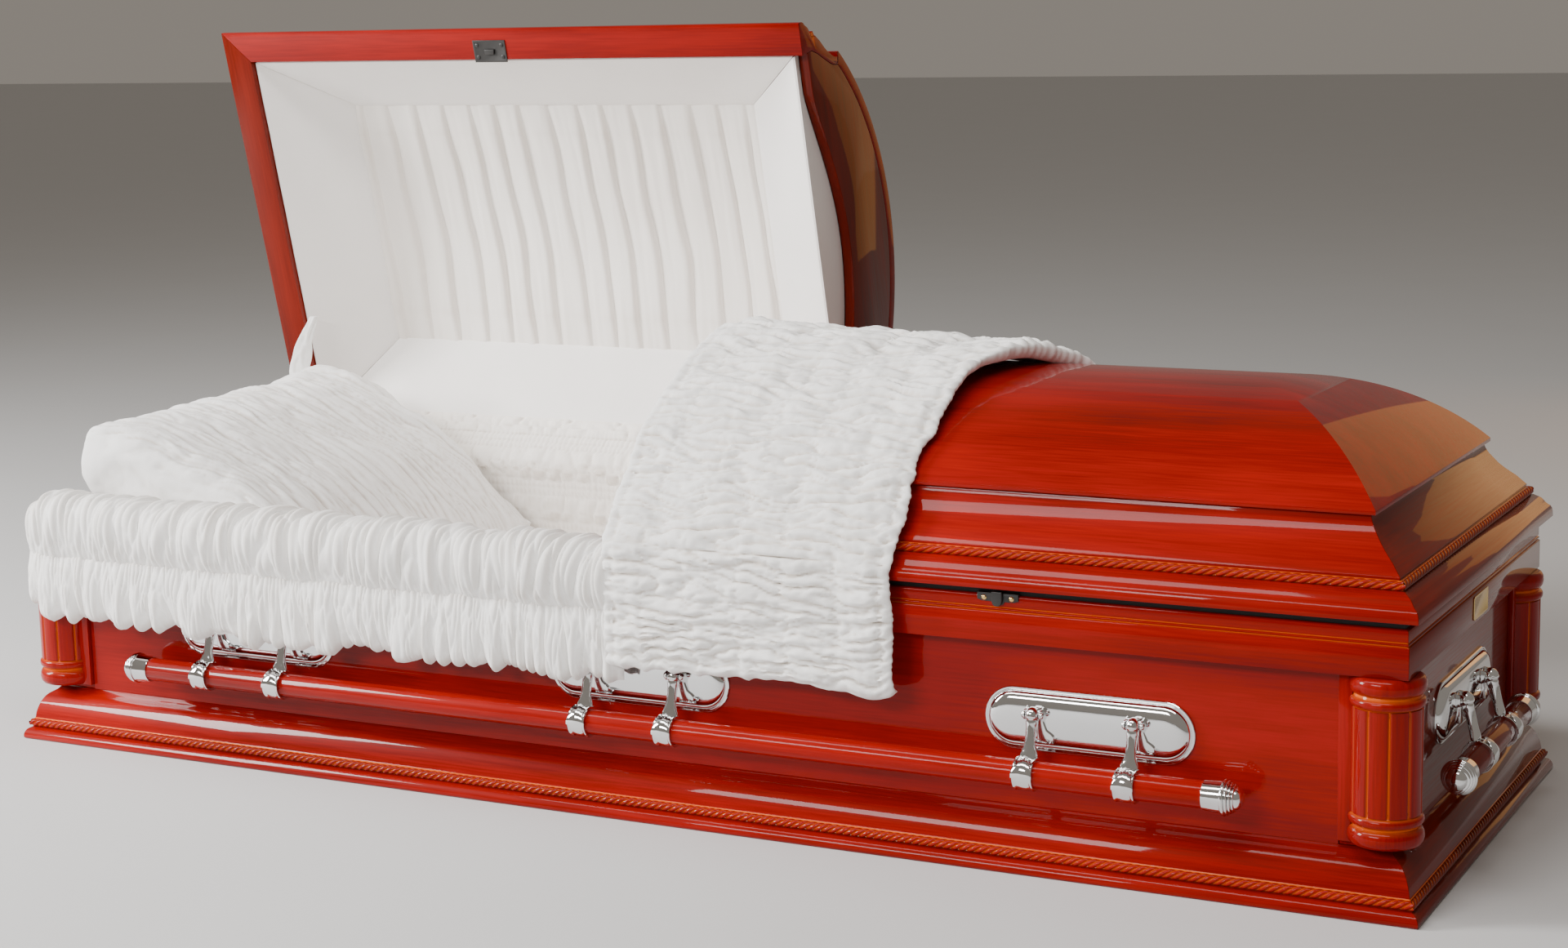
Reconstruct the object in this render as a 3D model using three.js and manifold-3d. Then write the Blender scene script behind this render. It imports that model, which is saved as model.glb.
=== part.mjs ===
// Half-couch wooden casket: gloss red body with rope mouldings and turned corner columns,
// two hinged lids with a hipped crown, swing-bar handles and a gathered cloth interior.
// Millimetres, +X to the foot end, +Y to the back, +Z up, origin under the middle of the base.
import * as THREE from 'three';
import { mergeVertices } from 'three/addons/utils/BufferGeometryUtils.js';
import Module from 'manifold-3d';

const wasm = await Module();
wasm.setup();

// Overall sizes
const length = 2090;
const width = 718;
const clearance = 0.3; // between pieces that touch
const mitreGap = 0.25; // each moulding's share of a mitred joint

// Body
const baseHeight = 76;
const panelHeight = 267; // base moulding to the top of the rail
const panelInset = 43; // from the nose of the base to the panel's face
const panelThickness = 18;
const railDepth = 58.4;
const railInset = 21;
const boardThickness = 15;
const liningThickness = 14;

// Corner columns
const columnRadius = 44.6;
const columnInset = 53.2; // axis, from the nose of the base on both sides
const columnFoot = 7; // gap under the lowest ring
const reedCount = 10;
const reedDepth = 2.6;
const columnStrip = 8; // flat strip between column and panel

// Lids
const gasketGap = 10; // rail to lid
const rimInset = 7.5;
const rimBoard = 47.5; // width of the lid's underside
const rimHeight = 108.4; // underside to the top of the cove
const coveInset = 84.3;
const crownInset = 77.5;
const crownWall = 16;
const crownRadius = 412.7;
const hipRadius = 311.4;
const lidGap = 2.2; // between the two lids
const headerThickness = 15;
const headerLift = 17; // underside of the rim to the header's corners
const headerArch = 60; // rise of the header's lower edge
const headerArchHalf = 244;
const openAngle = 76.8;
const hingeInset = 12; // axis, from the rim's outer back edge
const hingeRadius = 3.6;
const hingeRebate = 5;

// Lid lining
const borderThickness = 6;
const borderWidth = 100; // plan width of the slanted boards, long sides
const borderEnd = 135; // beside the header
const borderRise = 107;
const liningCrown = 20; // how far the shirred panel arches up
const clothThickness = 6;

// Handles: local Y is outward from the panel, negative
const plateLength = 270;
const plateHeight = 78;
const plateCentre = 187;
const plateSpacing = 630;
const armSpacing = 129;
const pivotHeight = 198;
const pivotReach = 22;
const barHeight = 129.5;
const barReach = 41;
const barRadius = 16.5;
const frontBarLength = 1676;
const endBarLength = 384;
const ballRadius = 9;
const ballWidth = 13;
const earThickness = 3;
const collarHalf = 11;
const collarWall = 3.2;

// Cloth
const mattressTop = 215;
const mattressHeadRise = 126;
const mattressBend = 470; // length of the raised head part
const pillowLength = 455;
const pillowDepth = 118;
const pillowOver = 8; // from the side lining
const pillowLift = 5; // above the mattress, which it meets in a line
const pillowBack = 26; // from the end lining, at its middle
const pillowSkew = 24; // its front corner lies nearer the end, over the rail
const apronDrop = 155; // hem below the rail's top
const apronPuff = 30; // crest above the rail's top
const apronBulge = 30; // outward from the rail
const overlayReach = 400; // along the foot lid
const overlayTurn = 24; // thickness of the fold over the cut end
const overlayThickness = 16;
const overlayDrop = 147; // hem below the lid's underside
const overlayBack = 110; // past the middle, towards the back

// Small fittings
const namePlateLength = 72;
const namePlateHeight = 30;
const namePlateThickness = 1.2;
const latchLength = 54;
const latchWidth = 16;
const latchPlace = 521;
const catchLength = 58;
const catchWidth = 34;
const catchPlace = -531;
const catchThickness = 1.2;
const stayWidth = 26;
const stayThickness = 7;
const stayReach = 214; // from the hinge to its place on the lid

// Worked out from the sizes above
const halfLength = length / 2;
const halfWidth = width / 2;
const railTop = baseHeight + panelHeight;
const railBottom = railTop - railDepth;
const rimBottom = railTop + gasketGap;
const coveTop = rimBottom + rimHeight;
const panelInside = panelInset + panelThickness;
const liningInside = panelInside + clearance + liningThickness;
const rimInside = rimInset + rimBoard;
const arch = { half: halfWidth - crownInset, edge: coveTop + clearance + 4.6 };
arch.centre = arch.edge - Math.sqrt(crownRadius ** 2 - arch.half ** 2);
arch.top = arch.centre + crownRadius;
const hip = { centre: arch.top - hipRadius };
hip.inset = crownInset + Math.sqrt(hipRadius ** 2 - (arch.edge - hip.centre) ** 2);
const hinge = { y: halfWidth - rimInset - hingeInset, z: rimBottom };
const cutX = lidGap / 2;
const columnStripEnd = columnInset + columnRadius + columnStrip;

const v = (x, y, z) => new THREE.Vector3(x, y, z);
const wood = { color: 0x8c1a0a, roughness: 0.15, metalness: 0 };
const materials = {
  wood: new THREE.MeshStandardMaterial(wood),
  darkWood: new THREE.MeshStandardMaterial({ ...wood, color: 0x6e1508 }),
  bareWood: new THREE.MeshStandardMaterial({ color: 0x9a7148, roughness: 0.7, metalness: 0 }),
  chrome: new THREE.MeshStandardMaterial({ color: 0xd8dadc, roughness: 0.08, metalness: 1 }),
  brass: new THREE.MeshStandardMaterial({ color: 0xb98a3c, roughness: 0.25, metalness: 1 }),
  black: new THREE.MeshStandardMaterial({ color: 0x16120f, roughness: 0.5, metalness: 0.6 }),
  cloth: new THREE.MeshStandardMaterial({ color: 0xf4f1ec, roughness: 0.9, metalness: 0 }),
};

// Triangles of a flat ring, turned the way the ring runs
function cap(ring) {
  const normal = v(0, 0, 0);
  ring.forEach((p, i) => normal.add(v(0, 0, 0).crossVectors(p, ring[(i + 1) % ring.length])));
  const size = normal.toArray().map(Math.abs);
  const drop = size.indexOf(Math.max(...size));
  const flat = ring.map((p) => new THREE.Vector2(...p.toArray().filter((_, i) => i !== drop)));
  return THREE.ShapeUtils.triangulateShape(flat, []).map((face) => {
    const [a, b, c] = face.map((i) => ring[i]);
    const turn = v(0, 0, 0).crossVectors(b.clone().sub(a), c.clone().sub(a)).dot(normal);
    return turn > 0 ? [a, b, c] : [a, c, b];
  });
}

// One closed body through rings of equal count; ends are capped unless they meet or close to a line
function loft(rings, { ring = false, capStart = true, capEnd = true } = {}) {
  const triangles = [];
  const spans = ring ? rings.length : rings.length - 1;
  for (let i = 0; i < spans; i++) {
    const a = rings[i];
    const b = rings[(i + 1) % rings.length];
    a.forEach((p, j) => {
      const k = (j + 1) % a.length;
      triangles.push([p, a[k], b[k]], [p, b[k], b[j]]);
    });
  }
  if (!ring && capStart) triangles.push(...cap(rings[0]).map(([a, b, c]) => [a, c, b]));
  if (!ring && capEnd) triangles.push(...cap(rings.at(-1)));
  const whole = triangles.filter(([a, b, c]) => a.distanceTo(b) * b.distanceTo(c) * c.distanceTo(a) > 0);
  const volume = whole.reduce((sum, [a, b, c]) => sum + a.dot(b.clone().cross(c)), 0);
  const order = volume > 0 ? [0, 1, 2] : [0, 2, 1];
  const geometry = new THREE.BufferGeometry();
  geometry.setFromPoints(whole.flatMap((face) => order.map((i) => face[i])));
  geometry.computeVertexNormals();
  return geometry;
}

function toSolid(geometry) {
  const plain = geometry.clone();
  plain.deleteAttribute('normal');
  plain.deleteAttribute('uv');
  const merged = mergeVertices(plain, 1e-4);
  const vertProperties = new Float32Array(merged.attributes.position.array);
  const triVerts = new Uint32Array(merged.index.array);
  return new wasm.Manifold(new wasm.Mesh({ numProp: 3, vertProperties, triVerts }));
}

function fromSolid(solid) {
  const { vertProperties, triVerts } = solid.getMesh();
  const geometry = new THREE.BufferGeometry();
  geometry.setAttribute('position', new THREE.BufferAttribute(vertProperties, 3));
  geometry.setIndex(new THREE.BufferAttribute(triVerts, 1));
  const flat = geometry.toNonIndexed();
  flat.computeVertexNormals();
  return flat;
}

const join = (...geometries) => fromSolid(geometries.map(toSolid).reduce((a, b) => a.add(b)));
const cut = (geometry, tool) => fromSolid(toSolid(geometry).subtract(toSolid(tool)));

function mesh(name, geometry, material) {
  const made = new THREE.Mesh(geometry, material);
  made.name = name;
  return made;
}

// A box between two corners
function box(low, high) {
  const size = high.clone().sub(low);
  const centre = low.clone().add(high).multiplyScalar(0.5);
  return new THREE.BoxGeometry(size.x, size.y, size.z).translate(centre.x, centre.y, centre.z);
}

// A round body from [radius, height] pairs, standing on Z or lying along X
function turned(profile, sides, lying = false) {
  const rings = profile.map(([radius, height]) => Array.from({ length: sides }, (_, i) => {
    const angle = (2 * Math.PI * (i + 0.5)) / sides;
    const [a, b] = [radius * Math.cos(angle), radius * Math.sin(angle)];
    return lying ? v(height, a, b) : v(a, b, height);
  }));
  return loft(rings);
}

// Points on an arc in profile space, degrees
function arc(x, z, radius, from, to, steps) {
  return Array.from({ length: steps + 1 }, (_, i) => {
    const angle = THREE.MathUtils.degToRad(from + ((to - from) * i) / steps);
    return [x + radius * Math.cos(angle), z + radius * Math.sin(angle)];
  });
}

// The four sides: s runs along the side, t is the inset from the nose of the base
const sides = {
  front: { half: halfLength, place: (s, t, z) => v(s, t - halfWidth, z) },
  back: { half: halfLength, place: (s, t, z) => v(s, halfWidth - t, z) },
  head: { half: halfWidth, place: (s, t, z) => v(t - halfLength, s, z) },
  foot: { half: halfWidth, place: (s, t, z) => v(halfLength - t, s, z) },
};

// A moulding along one side, mitred at both ends unless an end is cut square
function moulding(side, profile, { start, end } = {}) {
  const { half, place } = sides[side];
  const reach = (t) => half - t - mitreGap;
  return loft([
    profile.map(([t, z]) => place(start ?? -reach(t), t, z)),
    profile.map(([t, z]) => place(end ?? reach(t), t, z)),
  ]);
}

const baseProfile = [
  [2, 0], [0, 2], [0, 6], [3, 13], [8, 16],
  ...arc(12, 23.5, 6, 250, 110, 4),
  [13, 30.5], [14.2, 36], [16.5, 45], [20, 54], [25, 62], [32, 67.5], [38, 71.5],
  [panelInset, baseHeight], [panelInside, baseHeight], [panelInside, 0],
];

const railProfile = [
  [railInset, railBottom], [railInset, railTop - 22], [railInset + 3, railTop - 20],
  [railInset + 1, railTop - 17], [railInset + 3, railTop - 15], [railInset + 1.5, railTop - 4],
  [railInset + 4, railTop], [panelInset - clearance, railTop], [panelInset - clearance, railBottom],
];

// Underside, ogee, rope bead and cove of a lid; the hinge side is rebated for the hinge
function rimProfile(hinged) {
  const z = (height) => rimBottom + height;
  const outside = [
    [rimInset, z(hinged ? hingeRebate : 0)], [rimInset + 1.1, z(11)], [rimInset + 6.3, z(17.6)],
    [rimInset + 11.1, z(24)], [rimInset + 16.5, z(29)], [rimInset + 21.5, z(32)],
    ...arc(rimInset + 27, z(37.8), 5.2, 225, 110, 4),
    [rimInset + 30, z(43.5)], [rimInset + 29, z(46.8)],
  ];
  const cove = [[40.5, 59.6], [53.8, 71.6], [66.5, 87], [74.5, 99.5]];
  const inside = [[37, 92], [31, 81], [20, 64], [8, 46]];
  const outward = cove.map(([t, height]) => [rimInset + t, z(height)]);
  const inward = inside.map(([t, height]) => [rimInside + t - clearance, z(height)]);
  const foot = hinged
    ? [[rimInside, rimBottom], [rimInset + hingeInset + 7, rimBottom],
      [rimInset + hingeInset + 7, z(hingeRebate)]]
    : [[rimInside, rimBottom]];
  return [...outside, ...outward, [coveInset, coveTop], [halfWidth - innerArch(coveTop), coveTop],
    ...inward, [rimInside, z(30)], ...foot];
}

// Half width of the crown's inner face at a height
const innerArch = (z) => Math.sqrt((crownRadius - crownWall) ** 2 - (z - arch.centre) ** 2);

// One level of the crown: arch half width, height and inset of the hipped end
function crownLevels(wall, steps) {
  const radius = crownRadius - wall;
  const low = coveTop + clearance;
  const first = wall ? Math.asin(innerArch(low) / radius) : Math.asin(arch.half / radius);
  const levels = wall ? [] : [{ y: arch.half, z: low, t: crownInset }];
  for (let i = 0; i <= steps; i++) {
    const angle = first * (1 - i / steps);
    const z = arch.centre + radius * Math.cos(angle);
    levels.push({ y: radius * Math.sin(angle), z, t: hip.inset - Math.sqrt(
      Math.max(0, (hipRadius - wall) ** 2 - (z - hip.centre) ** 2)) });
  }
  return levels;
}

function crown(end) {
  const steps = 10;
  const outer = crownLevels(0, steps);
  const inner = crownLevels(crownWall, steps + 1);
  const path = ({ y, z, t }) => [
    v(end * cutX, -y, z), v(end * (halfLength - t), -y, z),
    v(end * (halfLength - t), y, z), v(end * cutX, y, z),
  ];
  const rings = outer.map((level, i) => [...path(level), ...path(inner[i]).reverse()]);
  return loft(rings, { capEnd: false });
}

// Lower edge of the header, a flat shoulder and an arch
function headerEdge(y) {
  const share = Math.min(1, Math.abs(y) / headerArchHalf);
  return rimBottom + headerLift + headerArch * Math.cos((share * Math.PI) / 2) ** 1.2;
}

// The board that closes the cut end of a lid, inside the shell
function header(end) {
  const step = 12;
  const lower = Array.from({ length: step + 1 }, (_, i) => {
    const y = headerArchHalf * (1 - (2 * i) / step);
    return [y, headerEdge(y)];
  });
  const shoulder = halfWidth - rimInside - clearance;
  const rise = rimProfile(false).slice(-7, -1).reverse();
  const side = rise.slice(0, -1).map(([t, z]) => [halfWidth - t - 2 * clearance, z]);
  const archTop = Array.from({ length: 13 }, (_, i) => {
    const radius = crownRadius - crownWall - clearance;
    const angle = Math.asin(innerArch(coveTop) / radius) * (-1 + (i * 2) / 12);
    return [radius * Math.sin(angle), arch.centre + radius * Math.cos(angle)];
  });
  const outline = [
    ...lower, [-shoulder, headerEdge(headerArchHalf)], ...side.map(([y, z]) => [-y, z]),
    ...archTop, ...side.reverse(), [shoulder, headerEdge(headerArchHalf)],
  ];
  return loft([cutX, cutX + headerThickness].map((x) => outline.map(([y, z]) => v(end * x, y, z))));
}

// Lower and upper loops of the lid's lining: slanted boards up to the cloth panel
function liningLoops(lift) {
  const outerX = halfLength - rimInside - 2;
  const nearX = cutX + headerThickness + 1;
  const outerY = halfWidth - rimInside - 2;
  const low = rimBottom + 9 + lift;
  const high = rimBottom + 9 + borderRise + lift;
  const lower = [v(nearX, -outerY, low), v(outerX, -outerY, low), v(outerX, outerY, low),
    v(nearX, outerY, low)];
  const innerY = outerY - borderWidth;
  const innerX = outerX - borderWidth;
  const upper = [v(nearX + borderEnd, -innerY, high), v(innerX, -innerY, high),
    v(innerX, innerY, high), v(nearX + borderEnd, innerY, high)];
  const steps = 6;
  for (let i = 1; i < steps; i++) {
    const share = 1 - (2 * i) / steps;
    lower.push(v(nearX, outerY * share, Math.max(low, headerEdge(outerY * share) + lift)));
    upper.push(v(nearX + borderEnd, innerY * share, high));
  }
  return { lower, upper };
}

const mirrorX = (points, end) => points.map((p) => v(end * p.x, p.y, p.z));

function liningBorder(end) {
  const under = liningLoops(0);
  const over = liningLoops(borderThickness);
  const sections = under.upper.map((p, i) => mirrorX([p, over.upper[i], over.lower[i], under.lower[i]], end));
  return loft(sections, { ring: true });
}

// The arched cloth panel above the border
function liningPanel(end) {
  const { upper } = liningLoops(borderThickness + clearance);
  const lap = 8;
  const [near, far] = [upper[0].x - lap, upper[1].x + lap];
  const half = Math.abs(upper[0].y) + lap;
  const steps = 8;
  const outline = (lift) => Array.from({ length: steps + 1 }, (_, i) => {
    const share = -1 + (2 * i) / steps;
    return [half * share, upper[0].z + lift + liningCrown * Math.cos((share * Math.PI) / 2)];
  });
  const section = [...outline(0), ...outline(clothThickness).reverse()];
  return loft([near, far].map((x) => section.map(([y, z]) => v(end * x, y, z))));
}

// Border and panel of the foot lid as one covered tray
function liningTray(end) {
  const under = liningLoops(0);
  const over = liningLoops(borderThickness);
  const loops = [under.upper, under.lower, over.lower, over.upper];
  return loft(loops.map((loop) => mirrorX(loop, end)));
}

function column(sx, sy) {
  const z = (height) => baseHeight + columnFoot + height;
  const shaftLow = 40;
  const shaftHigh = railBottom - clearance - z(0) - 43;
  const top = railBottom - clearance - z(0);
  const r = columnRadius;
  const rings = (list, from, flip) => list.map(([radius, height]) => [radius, z(from + flip * height)]);
  const foot = [[r - 3, 0], [r, 5], [r, 15], [r - 4, 20], [r - 1, 24], [r - 1, 31], [r - 5, 35],
    [r - 4, shaftLow + 1]];
  const lowRings = turned(rings(foot, 0, 1), 12);
  const highRings = turned(rings(foot, top, -1), 12);
  const shaft = Array.from({ length: reedCount * 3 }, (_, i) => {
    const angle = (2 * Math.PI * i) / (reedCount * 3);
    const radius = i % 3 ? r - 3.5 : r - 3.5 - reedDepth;
    return [radius * Math.cos(angle), radius * Math.sin(angle)];
  });
  const reeds = loft([shaftLow, shaftHigh + 2].map((h) => shaft.map(([x, y]) => v(x, y, z(h)))));
  const inner = panelInside - columnInset;
  const far = columnStripEnd - columnInset;
  const near = panelInset + 2 - columnInset;
  const corner = box(v(inner, inner, 0), v(2 * r, 2 * r, 2 * railTop));
  const low = baseHeight + clearance;
  const legX = box(v(near, near, low), v(far, inner, railTop));
  const legY = box(v(near, near, low), v(inner, far, railTop));
  const strip = [r - 8, far];
  const proud = near - 9;
  const [stripLow, stripHigh] = [z(0), railBottom - clearance];
  const stripX = box(v(strip[0], proud, stripLow), v(strip[1], near + 1, stripHigh));
  const stripY = box(v(proud, strip[0], stripLow), v(near + 1, strip[1], stripHigh));
  const post = join(lowRings, reeds, highRings);
  const whole = join(cut(post, corner), legX, legY, stripX, stripY);
  const placed = whole.clone().scale(-sx, -sy, 1);
  if (sx * sy < 0) flipFaces(placed);
  return placed.translate(sx * (halfLength - columnInset), sy * (halfWidth - columnInset), 0);
}

function flipFaces(geometry) {
  const { array } = geometry.attributes.position;
  for (let i = 0; i < array.length; i += 9) {
    for (let k = 0; k < 3; k++) [array[i + 3 + k], array[i + 6 + k]] = [array[i + 6 + k], array[i + 3 + k]];
  }
  geometry.computeVertexNormals();
}

// Handle plate: a stadium-shaped dome with a lip and two forked lugs
function handlePlate() {
  const levels = [[0, 0], [0, 2.4], [5, 3], [9, 8.5], [19, 12.5]];
  const steps = 5;
  const rings = levels.map(([inset, height]) => {
    const radius = plateHeight / 2 - inset;
    const offset = plateLength / 2 - plateHeight / 2;
    return [-1, 1].flatMap((end) => Array.from({ length: steps + 1 }, (_, i) => {
      const angle = Math.PI * (i / steps - 0.5);
      const [x, z] = [end * (offset + radius * Math.cos(angle)), end * radius * Math.sin(angle)];
      return v(x, -clearance - height, plateCentre + z);
    }));
  });
  const lugs = [-1, 1].flatMap((side) => [-1, 1].map((ear) => lug(side * armSpacing / 2, ear)));
  return join(loft(rings), ...lugs);
}

// One ear of a lug with the head of its pivot pin
function lug(x, ear) {
  const near = ear * (ballWidth / 2 + clearance);
  const outline = [[-clearance - 8, 8], [-pivotReach - 3, 6], [-pivotReach - 6, 0],
    [-pivotReach - 3, -6], [-clearance - 8, -9]];
  const side = [near, near + ear * earThickness].map((offset) => (
    outline.map(([y, z]) => v(x + offset, y, pivotHeight + z))));
  const knob = turned([[4.5, near + ear * (earThickness - 0.5)], [3.5, near + ear * (earThickness + 4.5)]],
    6, true).translate(x, -pivotReach, pivotHeight);
  return join(loft(side), knob);
}

// Arm: ball at the pivot, tapered shank and a collar around the bar, or fused to it
function arm(x, fused = false) {
  const pivot = v(x, -pivotReach, pivotHeight);
  const axis = v(x, -barReach, barHeight);
  const down = axis.clone().sub(pivot).normalize();
  const across = v(1, 0, 0);
  const out = v(0, 0, 0).crossVectors(down, across);
  const ball = turned([[5, -ballWidth / 2], [ballRadius, 0], [5, ballWidth / 2]], 6, true)
    .translate(pivot.x, pivot.y, pivot.z);
  const collarRadius = barRadius + clearance + collarWall;
  const span = pivot.distanceTo(axis) - collarRadius + 1.5;
  const shank = [[0, 5.5, 5.5], [0.5, 5.5, 5.5], [1, 10, 6.5]].map(([share, a, b]) => (
    Array.from({ length: 4 }, (_, i) => {
      const angle = (Math.PI * (2 * i + 1)) / 4;
      return pivot.clone().addScaledVector(down, share * span)
        .addScaledVector(across, a * Math.cos(angle)).addScaledVector(out, b * Math.sin(angle));
    })));
  const sidesRound = 10;
  const hole = fused ? barRadius * 0.9 : (barRadius + clearance) / Math.cos(Math.PI / sidesRound);
  const section = [[-collarHalf, hole], [collarHalf, hole], [collarHalf, collarRadius + 1],
    [-collarHalf, collarRadius + 1]];
  const collar = Array.from({ length: sidesRound }, (_, i) => {
    const angle = (2 * Math.PI * (i + 0.5)) / sidesRound;
    return section.map(([along, radius]) => v(x + along, -barReach + radius * Math.cos(angle),
      barHeight + radius * Math.sin(angle)));
  });
  return join(ball, loft(shank), loft(collar, { ring: true }));
}

// Wooden bar with a sleeve and stepped dome tip at each end
function bar(total) {
  const tip = [[4, 0], [13, 5], [14.5, 12], [20.5, 14], [20.5, 46], [barRadius, 46.5]];
  const left = tip.map(([radius, along]) => [radius, along - total / 2]);
  const right = tip.map(([radius, along]) => [radius, total / 2 - along]).reverse();
  return turned([...left, ...right], 10, true).translate(0, -barReach, barHeight);
}

const stations = { front: [-plateSpacing, 0, plateSpacing], back: [plateSpacing, 0, -plateSpacing] };
const stationNames = { front: ['head', 'middle', 'foot'], back: ['head', 'middle', 'foot'] };
const sideTurn = { front: 0, foot: 90, back: 180, head: -90 };

// Plates, arms and bar of one side, in a group turned to face outward
function handles(side) {
  const group = new THREE.Group();
  const turn = THREE.MathUtils.degToRad(sideTurn[side]);
  group.rotation.z = turn;
  group.position.copy(sides[side].place(0, panelInset, 0));
  const places = stations[side] ?? [0];
  places.forEach((x, i) => {
    const label = stationNames[side] ? `_${stationNames[side][i]}` : '';
    const plate = mesh(`${side}_handle_plate${label}`, handlePlate(), materials.chrome);
    plate.position.x = x;
    group.add(plate);
  });
  const total = stations[side] ? frontBarLength : endBarLength;
  const armPlaces = places.flatMap((x) => [x - armSpacing / 2, x + armSpacing / 2]);
  if (side === 'front' || side === 'foot') {
    group.add(mesh(`${side}_bar`, bar(total), materials.wood));
    armPlaces.forEach((x, i) => group.add(mesh(`${side}_arm_${i + 1}`, arm(x), materials.chrome)));
  } else {
    // The two sides out of sight have their arms joined to the bar
    const arms = armPlaces.map((x) => arm(x, true));
    group.add(mesh(`${side}_bar`, join(bar(total), ...arms), materials.wood));
  }
  return group;
}

function bodyWood() {
  const group = new THREE.Group();
  const inside = panelInside + clearance;
  const floor = box(v(inside - halfLength, inside - halfWidth, 0),
    v(halfLength - inside, halfWidth - inside, boardThickness));
  group.add(mesh('bottom_board', floor, materials.bareWood));
  for (const side of ['front', 'back', 'head', 'foot']) {
    const rail = moulding(side, railProfile);
    const end = sides[side].half - columnStripEnd - clearance;
    const { place } = sides[side];
    const [a, b] = [place(-end, panelInset, baseHeight + clearance), place(end, panelInside, railTop)];
    const panel = box(a.clone().min(b), a.clone().max(b));
    group.add(mesh(`base_moulding_${side}`, moulding(side, baseProfile), materials.darkWood));
    group.add(mesh(`panel_${side}`, panel, materials.wood));
    group.add(mesh(`top_rail_${side}`, rail, materials.wood));
  }
  for (const [end, sx] of [['head', -1], ['foot', 1]]) {
    for (const [side, sy] of [['front', -1], ['back', 1]]) {
      group.add(mesh(`column_${side}_${end}`, column(sx, sy), materials.wood));
    }
  }
  return group;
}

// Cloth on the walls, the mattress with its raised head, the pillow
function bodyCloth() {
  const group = new THREE.Group();
  const floor = boardThickness + clearance;
  const corner = (t, z) => (sx, sy) => v(sx * (halfLength - t), sy * (halfWidth - t), z);
  const section = [corner(panelInside + clearance, floor), corner(liningInside, floor),
    corner(liningInside, railTop), corner(panelInside + clearance, railTop)];
  const walls = [[-1, -1], [1, -1], [1, 1], [-1, 1]].map(([sx, sy]) => section.map((at) => at(sx, sy)));
  group.add(mesh('body_lining', loft(walls, { ring: true }), materials.cloth));
  const end = halfLength - liningInside - 2;
  const half = halfWidth - liningInside - 2;
  const raised = mattressTop + mattressHeadRise;
  const side = [[-end, floor], [-end, raised - 14], [-end + 14, raised], [-end + 60, raised],
    [-end + mattressBend, mattressTop], [end - 14, mattressTop], [end, mattressTop - 14], [end, floor]];
  const bed = loft([-half, half].map((y) => side.map(([x, z]) => v(x, y, z))));
  group.add(mesh('mattress', bed, materials.cloth));
  group.add(mesh('pillow', pillow(end, raised), materials.cloth));
  return group;
}

// A crowned wedge pillow, thick at the head end, lying on the raised mattress
function pillow(end, raised) {
  const slope = Math.atan(mattressHeadRise / (mattressBend - 60));
  const half = halfWidth - liningInside - pillowOver;
  const count = 14;
  const stations = 8;
  const rings = Array.from({ length: stations + 1 }, (_, i) => {
    const share = i / stations;
    const bulge = Math.sin(Math.PI * (0.06 + 0.88 * share)) ** 0.45;
    const thick = (pillowDepth / 2) * bulge * (1.08 - 0.3 * share);
    const wide = half * (0.9 + 0.1 * bulge);
    const along = pillowLength * share;
    const x = -end + pillowBack + along * Math.cos(slope);
    const ground = Math.min(raised, raised + (60 - (x + end)) * Math.tan(slope));
    return Array.from({ length: count }, (_, j) => {
      const angle = (2 * Math.PI * j) / count;
      const [c, s] = [Math.cos(angle), Math.sin(angle)];
      const y = wide * Math.sign(c) * Math.abs(c) ** 0.55;
      const z = ground + pillowLift + thick + thick * Math.sign(s) * Math.abs(s) ** 0.8;
      return v(x + (pillowSkew * y) / half, y, z);
    });
  });
  return loft(rings);
}

// Puffed cloth that hangs over the front rail beside the head lid
function frontApron() {
  const y = (out) => railInset - halfWidth - out;
  const z = (height) => railTop + height;
  const b = apronBulge;
  const skin = clearance + 0.4;
  const outside = [[-54, 0.5], [-52, 0.5 * apronPuff], [-38, 0.87 * apronPuff], [-16, apronPuff],
    [8, 0.83 * apronPuff], [0.87 * b, 7], [b + 1, -18], [b - 2, -43], [b - 10, -60], [b - 4, -81],
    [b + 1, -108], [b - 2, -138], [b - 9, -apronDrop]];
  const inside = [[b - 16, -apronDrop], [b - 16, -57], [5, -43], [skin, -4], [skin, 0.5]];
  const section = [...outside, ...inside].map(([out, height]) => [y(out), z(height)]);
  const shrink = ([a, c], share) => [y(8) + (a - y(8)) * share, c + (z(-20) - c) * (1 - share) * 0.3];
  const head = -(halfLength - railInset) - 13;
  const near = -cutX - overlayTurn - 4;
  const ring = (x) => section.map(([a, c]) => v(x, a, c));
  const end = section.map((p, i) => {
    const [a, c] = i < outside.length ? shrink(p, 0.75) : p;
    return v(head, Math.min(a, i === 0 || i > outside.length ? a : y(-54)), c);
  });
  return loft([end, ring(head + 14), ring(near)]);
}

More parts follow.
